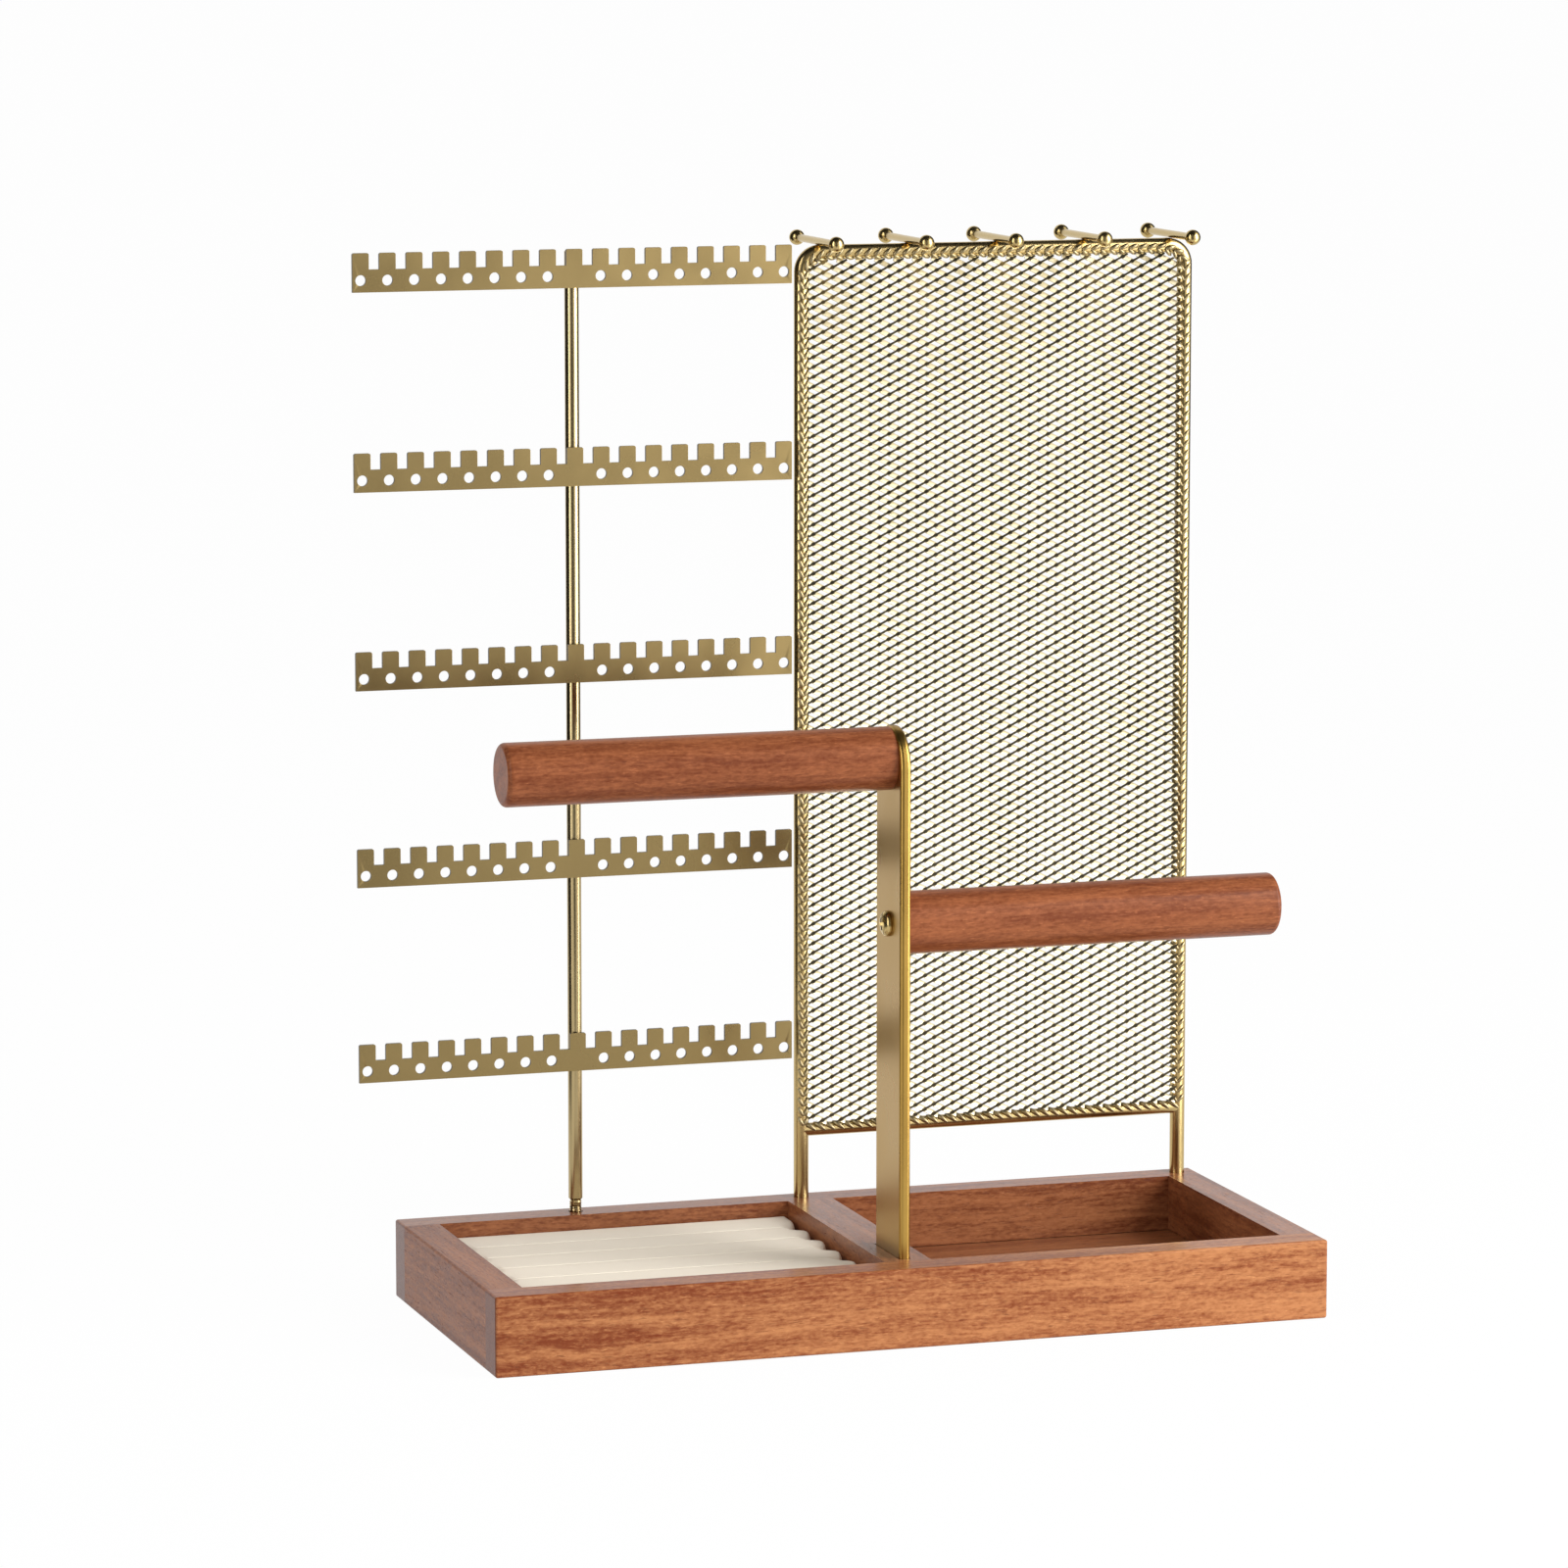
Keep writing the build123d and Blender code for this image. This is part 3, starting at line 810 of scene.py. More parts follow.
@dataclass
class BraceletArms:
    """Flat upright, its two wooden rods and their cross-head screws."""

    finishes: Finishes
    head_radius: float = 4.0 * MM
    head_side: float = 0.7 * MM
    head_height: float = 2.4 * MM
    head_ease: float = 0.15 * MM
    shank_radius: float = 1.95 * MM
    shank_length: float = 6.0 * MM
    recess_length: float = 4.2 * MM
    recess_width: float = 1.0 * MM
    recess_depth: float = 1.5 * MM
    recess_taper: tuple[float, float] = (0.45, 1.55)
    dome_steps: int = 8
    sides: int = 40
    rod_light: Color = (0.31, 0.102, 0.040)
    rod_dark: Color = (0.145, 0.036, 0.013)

    def screw(self, name: str) -> Piece:
        """Model one screw on the Z axis, its head up, with a cross recess.

        Args:
            name: the object's name.

        Returns:
            The screw, its head's underside at the origin.
        """
        foot, radius, dome = -self.shank_length, self.head_radius, self.head_height - self.head_side
        profile = [(0.0, foot), (self.shank_radius, foot), (self.shank_radius, 0.0)]
        profile += [(radius - self.head_ease, 0.0), (radius, self.head_ease), (radius, self.head_side)]
        for i in range(1, self.dome_steps):
            turn = math.pi / 2 * i / self.dome_steps
            profile.append((radius * math.cos(turn), self.head_side + dome * math.sin(turn)))
        profile.append((0.0, self.head_height))
        made = mesh_object(name, *lathe(profile, self.sides))
        for turn in (0.0, math.pi / 2):
            cutter = self.cutter(turn)
            cut = made.modifiers.new("Recess", "BOOLEAN")
            cut.object, cut.operation, cut.solver = cutter, "DIFFERENCE", "EXACT"
            apply_modifiers(made)
            drop(cutter)
        return made

    def cutter(self, turn: float) -> Piece:
        """Make one tapered wing of the cross recess.

        Args:
            turn: its turn about Z, in radians.

        Returns:
            The wing.
        """
        heights = (self.head_height - self.recess_depth, self.head_height + self.recess_depth)
        long, wide = self.recess_length / 2, self.recess_width / 2
        points = []
        for height, share in zip(heights, self.recess_taper):
            points += [(x * long * share, y * wide, height) for x, y in SQUARE]
        made = mesh_object("recess", points, bridge(2, len(SQUARE), capped=True))
        made.data.transform(Matrix.Rotation(turn, 4, "Z"))
        return made

    def dress(self) -> None:
        """Paint the upright and rods and replace the plain screws."""
        self.finishes.paint(GOLD, "upright")
        self.finishes.paint(STEEL, "foot_screws")
        red = {"light": self.rod_light, "dark": self.rod_dark, "figure": 0.2, "ior": 1.22, "coat": 0.04}
        rod_low, rod_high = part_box("upper_rod")
        middle_y, half = (rod_low.y + rod_high.y) / 2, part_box("lower_rod")[0].x
        heads = []
        for rod, shift, side, spin in (
            ("upper_rod", (600, 40, 310), 1, 0.5),
            ("lower_rod", (820, 260, 150), -1, 0.2),
        ):
            wood = WoodFinish(f"Wood {rod.replace('_', ' ')}", GrainAxis.ALONG_X, shift, **red)
            self.finishes.paint(wood, rod)
            low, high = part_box(rod)
            head = self.screw(f"screw_{rod}")
            place = Matrix.Translation((side * half, middle_y, (low.z + high.z) / 2))
            lean = Matrix.Rotation(side * math.pi / 2, 4, "Y")
            head.data.transform(place @ lean @ Matrix.Rotation(spin, 4, "Z"))
            heads.append(head)
        piece = join_objects("rod_screw_heads", heads, self.finishes.of(BRASS))
        settle(smooth(piece), "base", "brass_screw", "rod_screws")


@dataclass
class EarringRack:
    """Toothed bars on a round post with a threaded neck."""

    finishes: Finishes
    bar_count: int = 5
    tooth_count: int = 17
    tooth_width: float = 5.3 * MM
    notch_width: float = 3.3 * MM
    notch_depth: float = 5.1 * MM
    bar_height: float = 12.2 * MM
    bar_thickness: float = 1.2 * MM
    corner_round: float = 0.6 * MM
    corner_steps: int = 6
    hole_radius: float = 1.7 * MM
    hole_height: float = 3.7 * MM
    hole_sides: int = 24
    weld: float = 0.02 * MM
    edge_round: float = 0.28 * MM
    edge_angle: float = 50.0
    edge_facing: float = 0.9
    bar_smooth: float = 20.0
    post_sides: int = 48
    post_ease: float = 0.3 * MM
    thread_pitch: float = 0.7 * MM
    thread_depth: float = 0.28 * MM
    thread_steps: int = 28
    thread_sides: int = 4
    neck_step: float = 0.25 * MM
    neck_show: float = 4.2 * MM

    def cell(self, name: str, hole: bool = True, left: bool = True, right: bool = True) -> Piece:
        """Draw one tooth with its share of the strip, as a flat face in XZ.

        Args:
            name: the object's name.
            hole: whether the earring hole is cut.
            left: whether half a notch follows on the left.
            right: whether half a notch follows on the right.

        Returns:
            The flat cell, the tooth's middle at x 0 and the strip's lower edge at z 0.
        """
        half, pitch = self.tooth_width / 2, (self.tooth_width + self.notch_width) / 2
        web, top, r = self.bar_height - self.notch_depth, self.bar_height, self.corner_round
        outline = [(-pitch if left else -half, 0.0), (pitch if right else half, 0.0)]
        if right:
            outline += [(pitch, web), (half, web)]
        for corner_x, start in ((half - r, 0), (-half + r, 90)):
            for turn in np.radians(np.linspace(start, start + 90, self.corner_steps + 1)):
                outline.append((corner_x + r * math.cos(turn), top - r + r * math.sin(turn)))
        if left:
            outline += [(-half, web), (-pitch, web)]
        loops = [outline]
        if hole:
            loops.append([(x, self.hole_height + z) for x, z in circle(self.hole_radius, self.hole_sides)])
        bm = bmesh.new()
        for loop in loops:
            corners = [bm.verts.new((x, 0.0, z)) for x, z in loop]
            for a, b in zip(corners, corners[1:] + corners[:1]):
                bm.edges.new((a, b))
        bmesh.ops.triangle_fill(bm, use_beauty=True, edges=bm.edges[:], normal=(0, -1, 0))
        made = empty_object(name)
        bm.to_mesh(made.data)
        bm.free()
        return made

    def bars_tree(self, kinds: list[str]) -> GeometryTree:
        """Build the tree that sets teeth along each bar and bars up the post.

        Args:
            kinds: the names of the four kinds of teeth.

        Returns:
            The tree.
        """
        sizes = {"Teeth": INTEGER, "Pitch": FLOAT, "Bars": INTEGER, "Rise": FLOAT, "Corner": VECTOR}
        t = GeometryTree("Toothed bars", **dict.fromkeys(kinds, OBJECT), **sizes)
        line = t.row(t.given["Teeth"], "X", t.given["Pitch"])
        index = t.out("GeometryNodeInputIndex")
        last = t.math("SUBTRACT", t.given["Teeth"], 1.0)
        place = {"First": 0.0, "Blank": t.math("DIVIDE", last, 2.0), "Last": last}
        chosen = {kind: t.math("COMPARE", index, number, 0.1) for kind, number in place.items()}
        chosen["Plain"] = t.math("SUBTRACT", 1.0, t.weigh(*[(value, 1.0) for value in chosen.values()]))
        teeth = t.join(*[t.instance(line, t.shape(kind), Selection=chosen[kind]) for kind in kinds])
        real = t.out("GeometryNodeRealizeInstances", {0: teeth})
        bar = t.out("GeometryNodeMergeByDistance", {0: real, "Distance": self.weld})
        t.end(t.instance(t.row(t.given["Bars"], "Z", t.given["Rise"], t.given["Corner"]), bar))
        return t

    def bars(self) -> None:
        """Grow all the bars, thicken them and ease their edges."""
        names = [f"earring_bar_{i + 1}" for i in range(self.bar_count)]
        low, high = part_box(names[-1])
        rise = (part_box(names[0])[0].z - low.z) / (self.bar_count - 1)
        host = empty_object("earring_bars")
        thick = host.modifiers.new("Thickness", "SOLIDIFY")
        thick.thickness, thick.offset = self.bar_thickness, 0.0
        ease = host.modifiers.new("Edges", "BEVEL")
        ease.width, ease.segments = self.edge_round, 2
        ease.limit_method, ease.angle_limit = "ANGLE", math.radians(self.edge_angle)
        cells = {
            "Plain": self.cell("plain"),
            "Blank": self.cell("blank", hole=False),
            "First": self.cell("first", left=False),
            "Last": self.cell("last", right=False),
        }
        piece = self.bars_tree(list(cells)).grow(
            host,
            **cells,
            Teeth=self.tooth_count,
            Pitch=self.tooth_width + self.notch_width,
            Bars=self.bar_count,
            Rise=rise,
            Corner=(low.x + self.tooth_width / 2, (low.y + high.y) / 2, low.z),
            Material=self.finishes.of(BAR),
        )
        drop(*cells.values())
        # Sides and eased edges of the teeth, which face away from the front and back, take painted shade.
        mark_painted_shade(piece, [abs(face.normal.y) < self.edge_facing for face in piece.data.polygons])
        settle(smooth(piece, self.bar_smooth), "earring_rack", "gold_metal", *names)

    def thread_tree(self) -> GeometryTree:
        """Build the tree that winds the neck's thread and joins it to the post.

        Returns:
            The tree.
        """
        t = GeometryTree("Neck thread", Turns=FLOAT, Radius=FLOAT, Length=FLOAT, Depth=FLOAT, Foot=VECTOR)
        radius = {f"{end} Radius": t.given["Radius"] for end in ("Start", "End")}
        winding = {"Rotations": t.given["Turns"], "Height": t.given["Length"], **radius}
        spiral = t.out("GeometryNodeCurveSpiral", {"Resolution": self.thread_steps, **winding})
        section = {"Resolution": self.thread_sides, "Radius": t.given["Depth"]}
        ridge = t.out("GeometryNodeCurvePrimitiveCircle", section)
        wound = t.out("GeometryNodeCurveToMesh", {"Curve": spiral, "Profile Curve": ridge, "Fill Caps": True})
        placed = t.out("GeometryNodeTransform", {"Geometry": wound, "Translation": t.given["Foot"]})
        t.end(t.join(t.given["Geometry"], placed))
        return t

    def post(self) -> None:
        """Turn the post with its neck and wind the thread on it."""
        low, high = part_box("earring_post")
        x, y, radius = (low.x + high.x) / 2, (low.y + high.y) / 2, (high.x - low.x) / 2
        shoulder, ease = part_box("rear_rail")[1].z + self.neck_show, self.post_ease
        neck = radius - self.neck_step - self.thread_depth
        profile = [(0.0, low.z), (neck, low.z), (neck, shoulder - ease), (neck + ease, shoulder)]
        profile += [(radius - ease, shoulder), (radius, shoulder + ease), (radius, high.z - ease)]
        profile += [(radius - ease, high.z), (0.0, high.z)]
        material = self.finishes.of(POST)
        host = mesh_object("earring_post_turned", *lathe(profile, self.post_sides), material)
        host.data.transform(Matrix.Translation((x, y, 0.0)))
        length = shoulder - ease - low.z - self.thread_pitch
        piece = self.thread_tree().grow(
            host,
            Turns=length / self.thread_pitch,
            Radius=neck,
            Length=length,
            Depth=self.thread_depth,
            Foot=(x, y, low.z + self.thread_pitch / 2),
            Material=material,
        )
        settle(smooth(piece), "earring_rack", "gold_metal", "earring_post")

    def dress(self) -> None:
        """Make the bars and the post, and paint the hidden insert."""
        self.bars()
        self.post()
        self.finishes.paint(BRASS, "post_insert")


@dataclass(frozen=True)
class Wire:
    """A short wire round a rod.

    It runs from one angle to another, in degrees from the rod's front towards the mesh, and slants along
    the rod by a share of a row. Half is its half thickness.
    """

    start: float
    end: float
    slant: float
    half: float


@dataclass
class MeshPanel:
    """Expanded metal mesh in its rod frame, its edges wrapped on the rods, and the necklace pegs."""

    finishes: Finishes
    peg_count: int = 5
    half_columns: int = 41
    rows: int = 90
    rising_half: float = 0.33 * MM
    rising_tilt: float = 39.0
    falling_half: float = 1.0 * MM
    falling_tilt: float = 38.0
    falling_step: float = 0.74 * MM
    strand_depth: float = 0.11 * MM
    knot_step: float = 0.1 * MM
    knot_half: float = 0.75 * MM
    knot_width: float = 0.62 * MM
    knot_taper: float = 0.4
    knot_flat: float = 0.45
    bend: float = 7.0 * MM
    bend_start: tuple[float, float] = (0.4, 0.6)
    hem: float = 2.2 * MM
    wrap_steps: int = 7
    wrap_sides: int = 8
    wrap_lift: float = 0.3
    wrap_tip: float = 0.45
    wrap_swell: float = 0.6
    wrap_smooth: float = 60.0
    left_wires: tuple[Wire, ...] = (Wire(40, 2, 0.44, 0.64 * MM), Wire(-2, -37, -0.44, 0.64 * MM))
    right_wires: tuple[Wire, ...] = (
        Wire(100, 60, -0.3, 0.42 * MM),
        Wire(62, 22, -0.36, 0.52 * MM),
        Wire(18, -26, 0.36, 0.56 * MM),
    )
    top_wires: tuple[Wire, ...] = (Wire(64, 26, 0.44, 0.72 * MM), Wire(20, -18, -0.44, 0.72 * MM))
    foot_wires: tuple[Wire, ...] = (Wire(74, 0, 0.55, 0.78 * MM),)

    def __post_init__(self) -> None:
        """Measure the frame's rods, their middle lines and the mesh's pitch."""
        frame_low, frame_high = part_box("mesh_frame")
        bar_low, bar_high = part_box("mesh_bottom_bar")
        self.rod, self.bar = (frame_high.y - frame_low.y) / 2, (bar_high.z - bar_low.z) / 2
        self.left, self.right = frame_low.x + self.rod, frame_high.x - self.rod
        self.top, self.bottom = frame_high.z - self.rod, (bar_low.z + bar_high.z) / 2
        self.rod_y, self.bar_y = frame_low.y + self.rod, bar_low.y + self.bar
        self.wide = 2 * (self.right - self.left) / self.half_columns
        self.high = (self.top - self.bottom) / self.rows

    def ribbon(self, along: Vector, length: float, half: float, tilt: float, taper: float) -> Shape:
        """Make a flat bar through the origin, its upper edge tilted back.

        Args:
            along: direction in the XZ plane.
            length: half its length.
            half: half its width.
            tilt: tilt about its length in degrees.
            taper: width at its ends as a share.

        Returns:
            Points and faces, open at both ends if it doesn't taper.
        """
        up = Vector((-along.z, 0.0, along.x))
        if up.z < 0:
            up = -up
        across = up * math.cos(math.radians(tilt)) + Vector((0, 1, 0)) * math.sin(math.radians(tilt))
        normal = along.cross(across).normalized()
        ends = [(-1.0, taper), (1.0, taper)]
        if taper != 1.0:
            ends[1:1] = [(-self.knot_flat, 1.0), (self.knot_flat, 1.0)]
        points = [
            along * place * length + across * a * half * width + normal * b * self.strand_depth
            for place, width in ends
            for a, b in SQUARE
        ]
        return points, bridge(len(ends), len(SQUARE), capped=taper != 1.0)

    def cell(self) -> Piece:
        """Make one knot of the mesh with its four half strands.

        Returns:
            The cell around the origin.
        """
        reach = math.hypot(self.wide, self.high) / 4
        rising, falling = (Vector((self.wide, 0.0, slope * self.high)).normalized() for slope in (1, -1))
        strands = (
            (falling, reach, self.falling_half, self.falling_tilt, 1.0, self.falling_step),
            (rising, reach, self.rising_half, self.rising_tilt, 1.0, 0.0),
            (rising, self.knot_half, self.knot_width, self.rising_tilt, self.knot_taper, -self.knot_step),
        )
        points, faces, cut = [], [], []
        for along, length, half, tilt, taper, behind in strands:
            own_points, own_faces = self.ribbon(along, length, half, tilt, taper)
            back = Vector((0.0, behind, 0.0))
            add_shape(points, faces, ([point + back for point in own_points], own_faces))
            # The rising strands and the knots take painted shade.
            cut += [float(along is rising)] * len(own_faces)
        made = mesh_object("mesh_cell", points, faces)
        face_outward(made)
        mark_painted_shade(made, cut)
        return made

    def net_tree(self) -> GeometryTree:
        """Build the tree that sets the cells on two staggered grids, inside the frame's round corners.

        Returns:
            The tree.
        """
        counts = {"Columns": INTEGER, "Rows": INTEGER}
        sizes = {"Wide": FLOAT, "High": FLOAT, "Middle": VECTOR, "Half": VECTOR, "Bend": FLOAT, "Hem": FLOAT}
        t = GeometryTree("Expanded mesh", Cell=OBJECT, **counts, **sizes)
        place = t.vector("SUBTRACT", t.out("GeometryNodeInputPosition"), t.given["Middle"])
        ends = t.vector("SUBTRACT", t.given["Half"], t.given["Bend"])
        past_side = t.split(t.vector("SUBTRACT", t.vector("ABSOLUTE", place), ends))[0]
        past_top = t.split(t.vector("SUBTRACT", place, ends))[2]
        x, z = (t.math("MAXIMUM", value, 0.0) for value in (past_side, past_top))
        reach = t.math("SQRT", t.math("ADD", t.math("MULTIPLY", x, x), t.math("MULTIPLY", z, z)))
        outside = t.math("GREATER_THAN", reach, t.math("SUBTRACT", t.given["Bend"], t.given["Hem"]))
        rise = t.split(t.vector("ADD", place, t.given["Half"]))[2]
        outside = t.math("MAXIMUM", outside, t.math("LESS_THAN", rise, t.given["Hem"]))
        columns = t.given["Columns"]
        size_x = t.math("MULTIPLY", t.math("SUBTRACT", columns, 1.0), t.given["Wide"])
        grids = []
        for extra_rows, shift in ((1.0, -0.25), (0.0, 0.25)):
            rows = t.math("ADD", t.given["Rows"], extra_rows)
            size_z = t.math("MULTIPLY", t.math("SUBTRACT", rows, 1.0), t.given["High"])
            spread = {"Size X": size_x, "Size Y": size_z, "Vertices X": columns, "Vertices Y": rows}
            grid = t.out("GeometryNodeMeshGrid", spread)
            offset = t.out("ShaderNodeCombineXYZ", {"X": t.math("MULTIPLY", t.given["Wide"], shift)})
            turned = {"Geometry": grid, "Rotation": (math.pi / 2, 0, 0)}
            moved = {"Translation": t.vector("ADD", offset, t.given["Middle"])}
            stood = t.out("GeometryNodeTransform", {**turned, **moved})
            trimmed = t.out("GeometryNodeDeleteGeometry", {"Geometry": stood, "Selection": outside})
            grids.append(t.instance(trimmed, t.shape("Cell")))
        t.end(t.join(*grids))
        return t

    def net(self) -> None:
        """Grow the mesh."""
        panel_low, panel_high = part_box("mesh_panel")
        panel_y = (panel_low.y + panel_high.y) / 2
        cell = self.cell()
        net = self.net_tree().grow(
            empty_object("mesh_net"),
            Cell=cell,
            Columns=(self.half_columns + 1) // 2,
            Rows=self.rows,
            Wide=self.wide,
            High=self.high,
            Middle=((self.left + self.right) / 2, panel_y, (self.top + self.bottom) / 2),
            Half=((self.right - self.left) / 2, 0.0, (self.top - self.bottom) / 2),
            Bend=self.bend,
            Hem=self.hem,
            Material=self.finishes.of(MESH),
        )
        drop(cell)
        settle(net, "base", "gold_metal", "mesh_panel")

    def wrap_unit(self, rod: float, pitch: float, wires: tuple[Wire, ...]) -> Piece:
        """Make the short wires with which one row of the mesh's edge grips its rod.

        Args:
            rod: the rod's radius.
            pitch: length of rod that one row takes.
            wires: the wires.

        Returns:
            The unit at the origin, the rod along X, its front at -Y and the mesh towards -Z.
        """
        points, faces = [], []
        share = np.linspace(0.0, 1.0, self.wrap_steps)
        for wire in wires:
            turn = np.radians(wire.start + (wire.end - wire.start) * share)
            along = (1 - 2 * share) * wire.slant * pitch
            out = np.stack([np.zeros_like(turn), -np.cos(turn), -np.sin(turn)], axis=1)
            path = out * (rod + wire.half * self.wrap_lift)
            path[:, 0] = along
            swell = np.sin(math.pi * share) ** self.wrap_swell
            radii = wire.half * (self.wrap_tip + (1 - self.wrap_tip) * swell)
            add_shape(points, faces, tube(path, radii, out, self.wrap_sides))
        return mesh_object("wrap_unit", points, faces)

    def wrap_tree(self) -> GeometryTree:
        """Build the tree that sets wrap units along a rod.

        Returns:
            The tree.
        """
        t = GeometryTree("Wrapped edge", Unit=OBJECT, Pitch=FLOAT)
        curve = t.out("GeometryNodeMeshToCurve", {0: t.given["Geometry"]})
        spaced = {"Curve": curve, "Length": t.given["Pitch"]}
        points = t.node("GeometryNodeCurveToPoints", spaced, mode="LENGTH").outputs
        heading = {"Vector": points["Tangent"]}
        turn = t.out("FunctionNodeAlignRotationToVector", heading, axis="X", pivot_axis="Y")
        t.end(t.instance(points["Points"], t.shape("Unit"), Rotation=turn))
        return t

    def wraps(self) -> None:
        """Wrap the mesh's edges on the two legs, the top rod with its bends and the bottom bar."""
        bend, left, right, top, y = self.bend, self.left, self.right, self.top, self.rod_y
        foot = self.bottom + self.high
        corner = bend * (1 - math.cos(math.pi / 4))
        inset, drop_share = self.bend_start
        bent = ((inset * corner, drop_share * bend), (corner, corner), (bend, 0.0))
        left_line = [(left, y, foot), (left, y, top - bend)]
        right_line = [(right, y, top - bend), (right, y, foot)]
        top_line = [(left + inward, y, top - down) for inward, down in bent]
        top_line += [(right - inward, y, top - down) for inward, down in reversed(bent)]
        foot_line = [(x, self.bar_y, self.bottom) for x in (right - self.rod, left + self.rod)]
        tree = self.wrap_tree()
        for name, line, rod, pitch, wires, finish in (
            ("mesh_wrap_left", left_line, self.rod, self.high, self.left_wires, WRAP),
            ("mesh_wrap_right", right_line, self.rod, self.high, self.right_wires, WRAP),
            ("mesh_wrap_top", top_line, self.rod, self.wide / 2, self.top_wires, BRAID),
            ("mesh_wrap_foot", foot_line, self.bar, self.wide / 2, self.foot_wires, WRAP),
        ):
            unit = self.wrap_unit(rod, pitch, wires)
            path = empty_object(name)
            path.data.from_pydata(line, [(i, i + 1) for i in range(len(line) - 1)], [])
            piece = tree.grow(path, Unit=unit, Pitch=pitch, Material=self.finishes.of(finish))
            drop(unit)
            settle(smooth(piece, self.wrap_smooth), "base", "gold_metal")

    def dress(self) -> None:
        """Make the mesh and its wraps and paint the frame's rods, pegs and screws."""
        self.net()
        self.wraps()
        self.finishes.paint(ROD, "mesh_frame", "mesh_bottom_bar")
        self.finishes.paint(BRASS, *[f"necklace_peg_{i + 1}" for i in range(self.peg_count)])
        self.finishes.paint(STEEL, "leg_screws")


